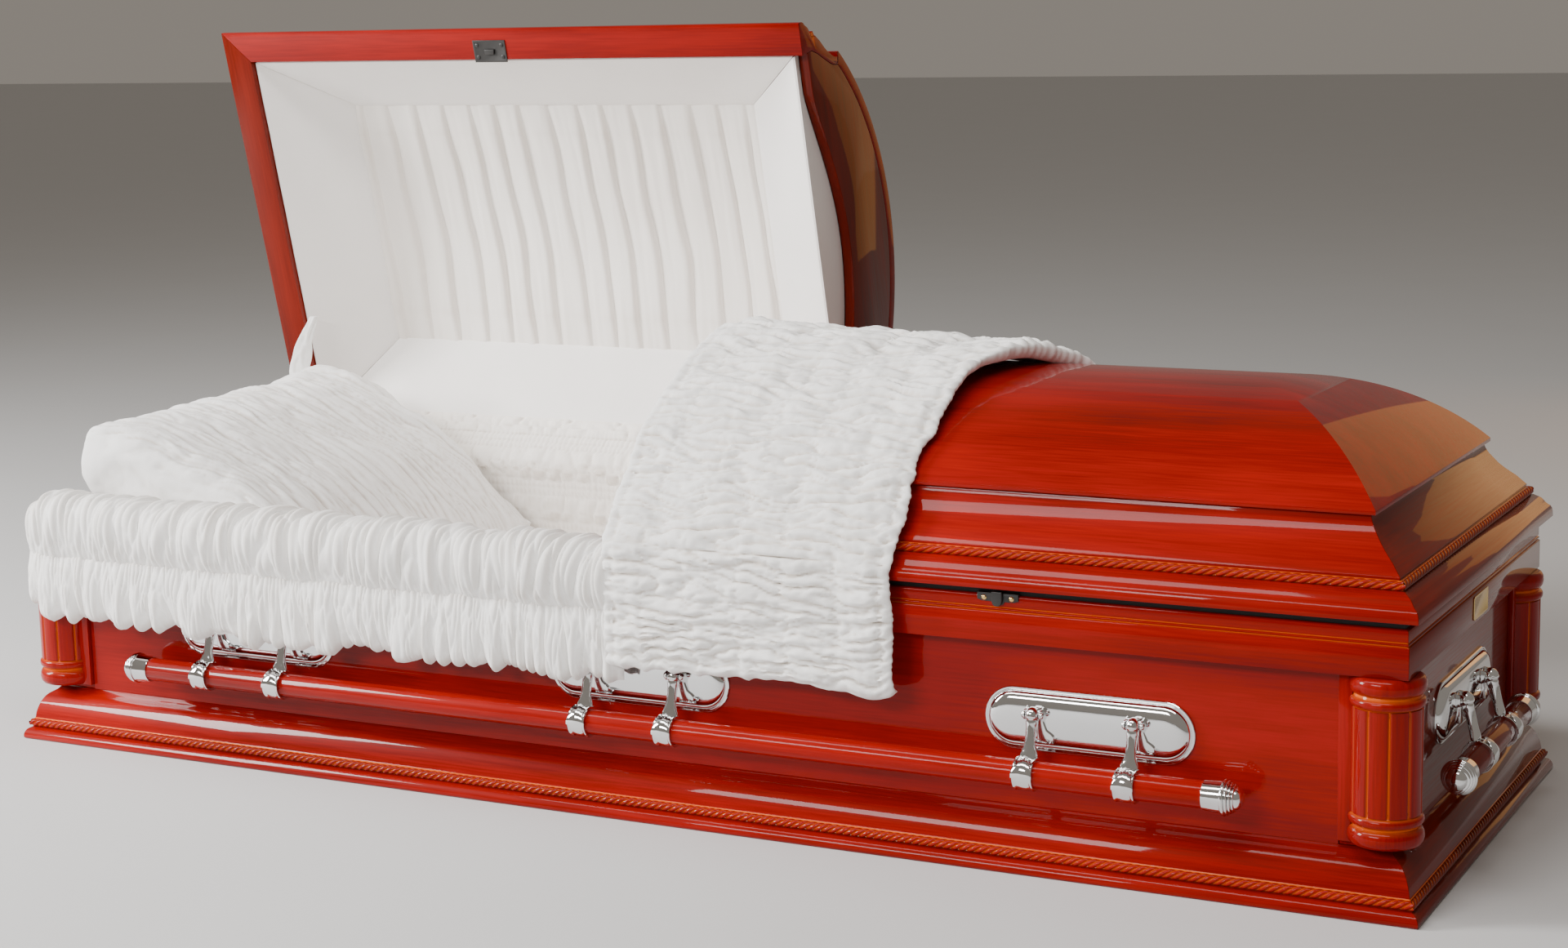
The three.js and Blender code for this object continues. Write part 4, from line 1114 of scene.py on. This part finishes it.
def valance():  # gathered cloth from the back wall up to the open lid
    line = Line([(0, 0.2822, 0.322), (0, 0.2826, 0.340), (0, 0.2895, 0.352), (0, 0.309, 0.371),
                 (0, 0.325, 0.384), (0, 0.336, 0.394), (0, 0.3435, 0.4045)])

    def place(u, v):
        x = mixed(-985, -22, u)
        at, out = line.place(v)
        tack = (x / 92) % 1
        pulled = math.exp(-((v - 0.96) / 0.05) ** 2) * math.exp(-((tack - 0.5) / 0.05) ** 2)
        lift = shirred(x, v * 108 + 45, 41.0) * min(1, 20 * v, 14 * (1 - v)) - 5.0 * pulled
        return Vector((x * mm, at.y, at.z)) + out * (lift + 1.5) * mm
    piece = cloth("hinge_cloth", 420, 40, place)
    # painted shade in the folds
    paintFoldShade(piece)
    thicken(piece, 2, -1, 60)
    clear()
    piece.data.materials.append(liningCloth)
    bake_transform(piece)


beds = {"top": 215, "raised": 341, "flat": 60, "bend": 470, "cushion": (120, 140), "hollow": 5, "grid": 12}


def mattress():  # flat under the foot lid, raised towards the head end
    end, half = halfLength - casket["liningInside"] - 4, halfWidth - casket["liningInside"] - 4
    top, raised, flat = beds["top"], beds["raised"], beds["flat"]
    side = [(-end, 16), (-end, raised - 18), (3 - end, raised - 9), (9 - end, raised - 3), (18 - end, raised)]
    side += [(-end + flat + (beds["bend"] - flat) * i / 8, raised - (raised - top) * i / 8) for i in range(9)]
    side += [(end - 18, top), (end - 9, top - 3), (end - 3, top - 9), (end, top - 18), (end, 16)]
    piece = block("bed", [(x, -half, z) for x, z in side], (0, 2 * half, 0), 14, 5, 60)
    for start, stop, across in ((-960, 970, (1, 0, 0)), (-270, 280, (0, 1, 0))):
        for at in range(start, stop, beds["grid"]):
            editing(piece)
            bpy.ops.mesh.bisect(plane_co=Vector(across) * at * mm, plane_no=across)
    tidy(piece)
    for corner in piece.data.vertices:
        x, y, z = corner.co / mm
        if z > 180:
            edge = min(1, (half - abs(y)) / 30)
            cross = puff(x / beds["cushion"][0] + 0.1 * drift(y * 0.01, 3)) * puff(y / beds["cushion"][1] + 0.5)
            corner.co.z += (4 * cross - beds["hollow"] + 1.4 * drift(x * 0.03, y * 0.03)) * max(edge, 0) * mm
    smooth(piece, 60)
    settle(piece, "base", liningCloth, ["mattress"])


wallLining()
valance()
mattress()
print("walls, hinge cloth and mattress are made")


# Pillow

pillowSize = {
    "half": 274, "skew": 12, "tilt": 13, "lift": 2, "voxel": 0.0065, "cap": 0.012,
    "pleat": 22, "pleatRise": 6.8, "edge": 0.16, "turn": 0.14, "rounding": 26,
    "top": [(-966, 352), (-976, 372), (-981, 405), (-978, 440), (-968, 460), (-950, 468), (-864, 455),
            (-770, 414), (-677, 363), (-603, 296), (-562, 254), (-536, 234)],
    "under": [(-545, 231), (-600, 249), (-700, 279), (-800, 310), (-900, 343), (-935, 346), (-960, 346),
              (-966, 352)],
}


def pillowForm(name):
    size = pillowSize
    half, rim = size["half"], size["edge"]
    loop = Line([(x, 0, z) for x, z in size["top"] + size["under"]], 6)
    ceiling = Line([(x, 0, z) for x, z in size["top"]], 6)

    def middle(x):  # half way between the top and the mattress
        share = min(max((x + 981) / 445, 0.03), 0.99)
        below = 345 - 114 * max(0, share - 0.18) / 0.82
        return Vector((x, 0, mixed(ceiling.place(0.12 + 0.86 * share)[0].z, below, 0.5)))

    def place(u, v):
        point = loop.place(u % 1)[0]
        edge = min(v, 1 - v) * 2
        if edge < rim:
            share, inset = 0.93 * edge / rim, 3 * (edge / rim) ** 2
        else:
            turn = min(1, (edge - rim) / size["turn"]) * quarter
            share = 0.93 + 0.07 * math.sin(turn)
            inset = mixed(3 + size["rounding"] * (1 - math.cos(turn)), half, max(0, (edge - 0.30) / 0.70))
        y = (half - inset) * (1 if v > 0.5 else -1)
        point = middle(point.x).lerp(point, share)
        raised = size["tilt"] * y / half * max(0, min(1, (point.z - 340) / 90))
        return Vector((point.x + size["skew"] * y / half, y, point.z + raised + size["lift"])) * mm
    piece = cloth(name, 72, 64, place)
    tidy(piece, 1e-4)
    return piece


def puffUp(piece, voxel, cap, frames=20):  # swells a closed form like stuffing would
    change(piece, "REMESH", mode="VOXEL", voxel_size=voxel)
    before = [corner.co.copy() for corner in piece.data.vertices]
    use(piece)
    modifier = piece.modifiers.new("Cloth", "CLOTH")
    settings = modifier.settings
    settings.quality, settings.mass = 5, 0.25
    settings.use_pressure, settings.uniform_pressure_force = True, 4.0
    settings.effector_weights.gravity = 0
    settings.tension_stiffness = settings.compression_stiffness = 12
    settings.bending_stiffness = 0.4
    modifier.collision_settings.use_collision = False
    modifier.point_cache.frame_start, modifier.point_cache.frame_end = 1, frames
    for step in range(1, frames + 1):
        bpy.context.scene.frame_set(step)
    bpy.ops.object.modifier_apply(modifier=modifier.name)
    bpy.context.scene.frame_set(1)
    for corner, old in zip(piece.data.vertices, before):
        moved = corner.co - old
        if moved.length > cap:
            corner.co = old + moved.normalized() * cap


def pillow():
    size = pillowSize
    piece = pillowForm("head_pillow")
    puffUp(piece, size["voxel"], size["cap"])
    use(piece)
    bpy.ops.object.mode_set(mode="EDIT")
    bpy.ops.mesh.select_all(action="SELECT")
    bpy.ops.mesh.vertices_smooth(factor=0.5, repeat=3)
    bpy.ops.object.mode_set(mode="OBJECT")
    change(piece, "SUBSURF", levels=1, render_levels=1)
    normals = [corner.normal.copy() for corner in piece.data.vertices]
    for corner, out in zip(piece.data.vertices, normals):
        x, y, z = corner.co / mm
        slant = y - 0.12 * x + 22 * drift(x * 0.006, y * 0.006, 9) + 7 * drift(x * 0.022, y * 0.015, 2)
        folds = crumple(x * 0.007, slant / size["pleat"], 4) + 0.45 * crumple(x * 0.016, slant / 8.5, 7) - 0.7
        up = max(0.0, min(1, out.z * 1.6 - 0.1))
        side = 0.9 * crumple(x * 0.02, z * 0.03, y * 0.02) + 0.5 * drift(x * 0.08, y * 0.08, z * 0.08)
        corner.co += out * (folds * size["pleatRise"] * up + side) * mm
    # painted shade in the folds
    paintFoldShade(piece, 12, 1.2)
    smooth(piece, 80)
    settle(piece, "base", pillowCloth, ["pillow"])
    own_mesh(piece)


pillow()
print("pillow is made")


# Apron over the front rail

apron = {
    "left": -1036, "right": -5, "turn": 84, "rail": 338, "seam": -64, "thickness": 2, "foldShade": (12, 1.5),
    "puff": [(-54, 1), (-51, 9), (-38, 18), (-16, 22), (8, 19), (23, 5), (29, -17), (27, -41), (20, -58),
             (15, -64)],
    "skirt": [(15, -57), (19, -63), (24, -80), (27, -104), (25, -132), (20, -153)],
}


def turned(x, out, height):  # the head end of the apron closes round the corner of the rail
    inward = max(0.0, (apron["left"] + apron["turn"] - x) / apron["turn"])
    share = (1 - min(1, inward) ** 2.3) ** (1 / 2.3)
    tucked = math.sqrt(1 - min(1, max(0, (x + 40) / 36)) ** 2)  # the other end goes under the throw
    out = mixed(-30, mixed(6, out, tucked), share)
    return -(apron["rail"] + out), casket["railTop"] + mixed(apron["seam"], height, max(share, 0.04) ** 0.7)


def apronCloth(name, columns, rows, place):
    piece = cloth(name, columns, rows, place)
    # painted shade in the folds, with its reach and depth from the apron's table
    paintFoldShade(piece, *apron["foldShade"])
    thicken(piece, apron["thickness"])
    return settle(piece, "base", throwCloth, ["front_apron"])


def apronUpper():
    line = Line([(0, out, height) for out, height in apron["puff"]])

    def place(u, v):
        x = mixed(apron["left"], apron["right"], u)
        at, normal = line.place(v)
        flow = x + 26 * (v - 0.4) * (0.25 + drift(x * 0.006, 1.2)) + 8 * drift(x * 0.02, v * 2.1, 5)
        face = math.sin(math.pi * min(1, 0.08 + 0.92 * v)) ** 0.5
        big = crumple(flow / 31, v * 1.15, 3) - 0.4
        fine = crumple(flow / 11, v * 2.2, 6) - 0.4
        gather = math.exp(-((1 - v) / 0.09) ** 2) + 0.8 * math.exp(-(v / 0.3) ** 2)
        tight = crumple(flow / 6.5, v * 3.5, 9) - 0.4
        lift = 10 * big * face + 4.6 * fine + 2.8 * gather * tight + 2.5 * drift(x * 0.012, v * 2, 7)
        point = at + normal * lift * min(1, 0.25 + 6 * (1 - v))
        y, z = turned(x, point.y, point.z)
        sag = 5 * drift(x * 0.006, 0.4) + 3 * math.sin(math.pi * u) + 2.5 * drift(x * 0.02, 6.6)
        return Vector((x, y, z + sag * math.sin(math.pi * min(v * 1.2, 1)))) * mm
    piece = apronCloth("apron_puff", 680, 60, place)
    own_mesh(piece)


def apronSkirt():
    line = Line([(0, out, height) for out, height in apron["skirt"]])

    def place(u, v):
        x = mixed(apron["left"] + 1, apron["right"], u)
        at, normal = line.place(v)
        flow = x + 9 * drift(x * 0.018, v * 0.8, 15) + 3 * drift(x * 0.07, v * 2, 18)
        tight = crumple(flow / 6.5, v * 2.4, 9) - 0.4
        opened = min(1, v * 1.2)
        folds = crumple(flow / 23, v * 0.5, 2) - 0.4
        lift = (3.2 - 1.2 * opened) * tight + 15 * opened ** 1.3 * folds + 1.6 * drift(x * 0.03, v * 2, 4)
        lift += 1.4 * math.sin(v * 22) * max(0, 1 - v * 5)  # two rows of stitches
        lift -= 7 * max(0, (v - 0.88) / 0.12) ** 2  # the hem turns in
        hem = 9 * (crumple(flow / 23, 0.5, 2) - 0.4) - 7 * drift(x * 0.004, 2.9) + 4 * drift(x * 0.02, 5.5)
        point = at + normal * max(lift, -9)
        y, z = turned(x, point.y, point.z - hem * opened ** 3)
        return Vector((x, y, z + 8 * v * max(0, 1 - u * 9))) * mm
    piece = apronCloth("apron_skirt", 760, 44, place)
    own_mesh(piece)


apronUpper()
apronSkirt()
print("apron is made")


# Throw over the foot lid

throw = {
    "left": -24, "reach": 398, "hem": 206, "back": 116, "thick": 13, "band": 66, "roll": 13, "end": 34,
    "clear": (4.5, 1.2), "under": [(-355, 250), (-355.5, 300), (-355, 345), (-352, 368), (-337, 394)],
}


def underThrow():  # the line over the front and the crown that the throw lies on
    under = [(0, -354, throw["hem"])] + [(0, y, z) for y, z in throw["under"]]
    radius = crowns["radius"] + 2
    for i in range(1, 14):
        angle = math.asin(crowns["half"] / crowns["radius"]) * (1 - i / 9.4)
        y, z = -radius * math.sin(angle), crowns["centre"] + radius * math.cos(angle)
        if y <= throw["back"]:
            under.append((0, y, z))
    return Line(under)


def throwRelief(inner, s, edge, width):  # wrinkles that run across, with gathered rows between bands
    roll = throw["roll"]
    band = (inner + 10 * drift(s * 0.012, inner * 0.004, 2)) / throw["band"] % 1
    gather = math.exp(-(min(band, 1 - band) * throw["band"] / 9) ** 2)
    seam = math.exp(-((edge - roll - 2) / 6) ** 2)
    flow = s + 11 * drift(inner * 0.014, s * 0.018, 1) + 3 * drift(inner * 0.04, s * 0.04, 6)
    wide, fine, tight, cross = (crumple(inner / long, flow / short, seed) - 0.4 for long, short, seed in (
        (84, 15, 3), (38, 7.5, 8), (20, 5.2, 12), (17, 46, 17)))
    return (9.0 * wide + 3.0 * fine + (0.7 + 2.8 * gather + 2.2 * seam) * tight
            + 1.0 * cross * (0.4 + max(0, inner / width - 0.4)) + 3.2 * drift(inner * 0.018, s * 0.018, 21)
            - 1.5 * gather - 2.2 * seam)


def throwCover():
    line, roll = underThrow(), throw["roll"]
    total = line.length

    def place(u, v):
        at, out = line.place(v)
        s = v * total
        flare = 100 * max(0, (v - 0.68) / 0.32) ** 1.3
        right = throw["reach"] - 7 + 7 * drift(s * 0.01, 4.4) + 4 * drift(s * 0.035, 1.4) + flare
        left = throw["left"] + 3 * drift(s * 0.02, 9.1)
        width = right - left
        a = u * (width + 3 * roll) - roll * 1.5  # both edges are rolled under
        way = -1 if a < width / 2 else 1
        body = throw["thick"] + mixed(27, 12, min(1, u * 1.5)) * max(0, min(1, (v - 0.45) / 0.35)) ** 2
        edge = min(a, width - a)
        inner = min(max(a, 0), width)
        ripple = throwRelief(inner, s, edge, width) * min(1, 0.35 + max(edge, 0) / 22)
        x, lift = left + inner, body + ripple * min(1, s / 14, (total - s) / 14)
        if edge < roll:  # round edge like a cord
            turn = (roll - edge) / (2.5 * roll) * math.pi
            swell = 1 + 0.05 * math.sin(s / 1.7 + 5 * drift(s * 0.05, a * 0.01)) + 0.16 * drift(s * 0.07, 5.5)
            x = (left + roll if way < 0 else right - roll) + way * roll * math.sin(turn) * swell
            rise = lift - body + 6 if turn < quarter else 0.85 * (body - 6)
            lift = body - 6 + rise * math.cos(turn)
        tip = max(0, (inner - (width - 130)) / 130)
        curl = 12 * math.sin(math.pi * max(0, min(1, (v - 0.50) / 0.45))) ** 1.5 * tip ** 1.5
        hem = 4 * drift(x * 0.012, 8.8) + 2.5 * drift(x * 0.05, 3.1) + 5 * crumple(x / 40, 0.7)
        hem += (3 if way < 0 else 14) * max(0, 1 - max(edge, 0) / 24) ** 2 - 12 * max(0, (x - 300) / 100)
        lowest = throw["clear"][0 if a < 1.5 * roll else 1]  # more on the side of the other lid
        lift = max(lift, lowest) + curl
        point = Vector((x, at.y, at.z)) + out * lift
        ending = 1 - (total - s) / throw["end"]
        if ending > 0:  # the far end comes down onto the lid and is rolled under
            point -= out * (lift - lowest) * (1 - math.sqrt(max(0, 1 - ending ** 2)))
        if s < roll:  # the hem is rolled too
            point += out * (math.sqrt(1 - ((roll - s) / roll) ** 2) - 1) * min(body - 2, roll)
        point.z += hem * max(0, 1 - v * 6) - 14 * tip * max(0, (v - 0.86) / 0.14)
        return point * mm
    piece = cloth("overlay_throw", 168, 270, place)
    # painted shade in the folds
    paintFoldShade(piece, 12, 1.4)
    thicken(piece, 3)
    settle(piece, "foot_lid", throwCloth, ["overlay"])
    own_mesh(piece)


def stay():  # cloth sleeve of the strap that holds the lid
    line = Line([(-960, 226, 346), (-961, 229, 400), (-963, 238, 460), (-965, 258, 515), (-966, 290, 561)])

    def place(u, v):
        at = line.place(v)[0]
        swell = math.sin(math.pi * min(1, 0.12 + 0.78 * v)) ** 0.7
        wide = mixed(7, 15.5, swell) * (1 - 0.45 * max(0, v - 0.75) / 0.25)
        angle = 2 * math.pi * u
        fold = 1 + 0.10 * math.sin(5 * angle + 6 * v)
        fold += 0.25 * drift(math.cos(angle) * 2, math.sin(angle) * 2, v * 7)
        across = wide * math.sin(angle) * fold
        deep = 4.5 * math.cos(angle) * fold + 2 * crumple(v * 6, across * 0.1)
        return Vector((at.x + 0.75 * across - 0.66 * deep, at.y + 0.66 * across + 0.75 * deep, at.z)) * mm
    piece = cloth("stay_sleeve", 36, 70, place)
    tidy(piece)
    pick(piece, lambda edge: len(edge.link_faces) == 1, "EDGE")
    bpy.ops.mesh.fill()
    tidy(piece)
    smooth(piece, 80)
    settle(piece, "base", throwCloth, ["lid_stay"])
    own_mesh(piece)


throwCover()
stay()
print("throw and stay are made")

clear()
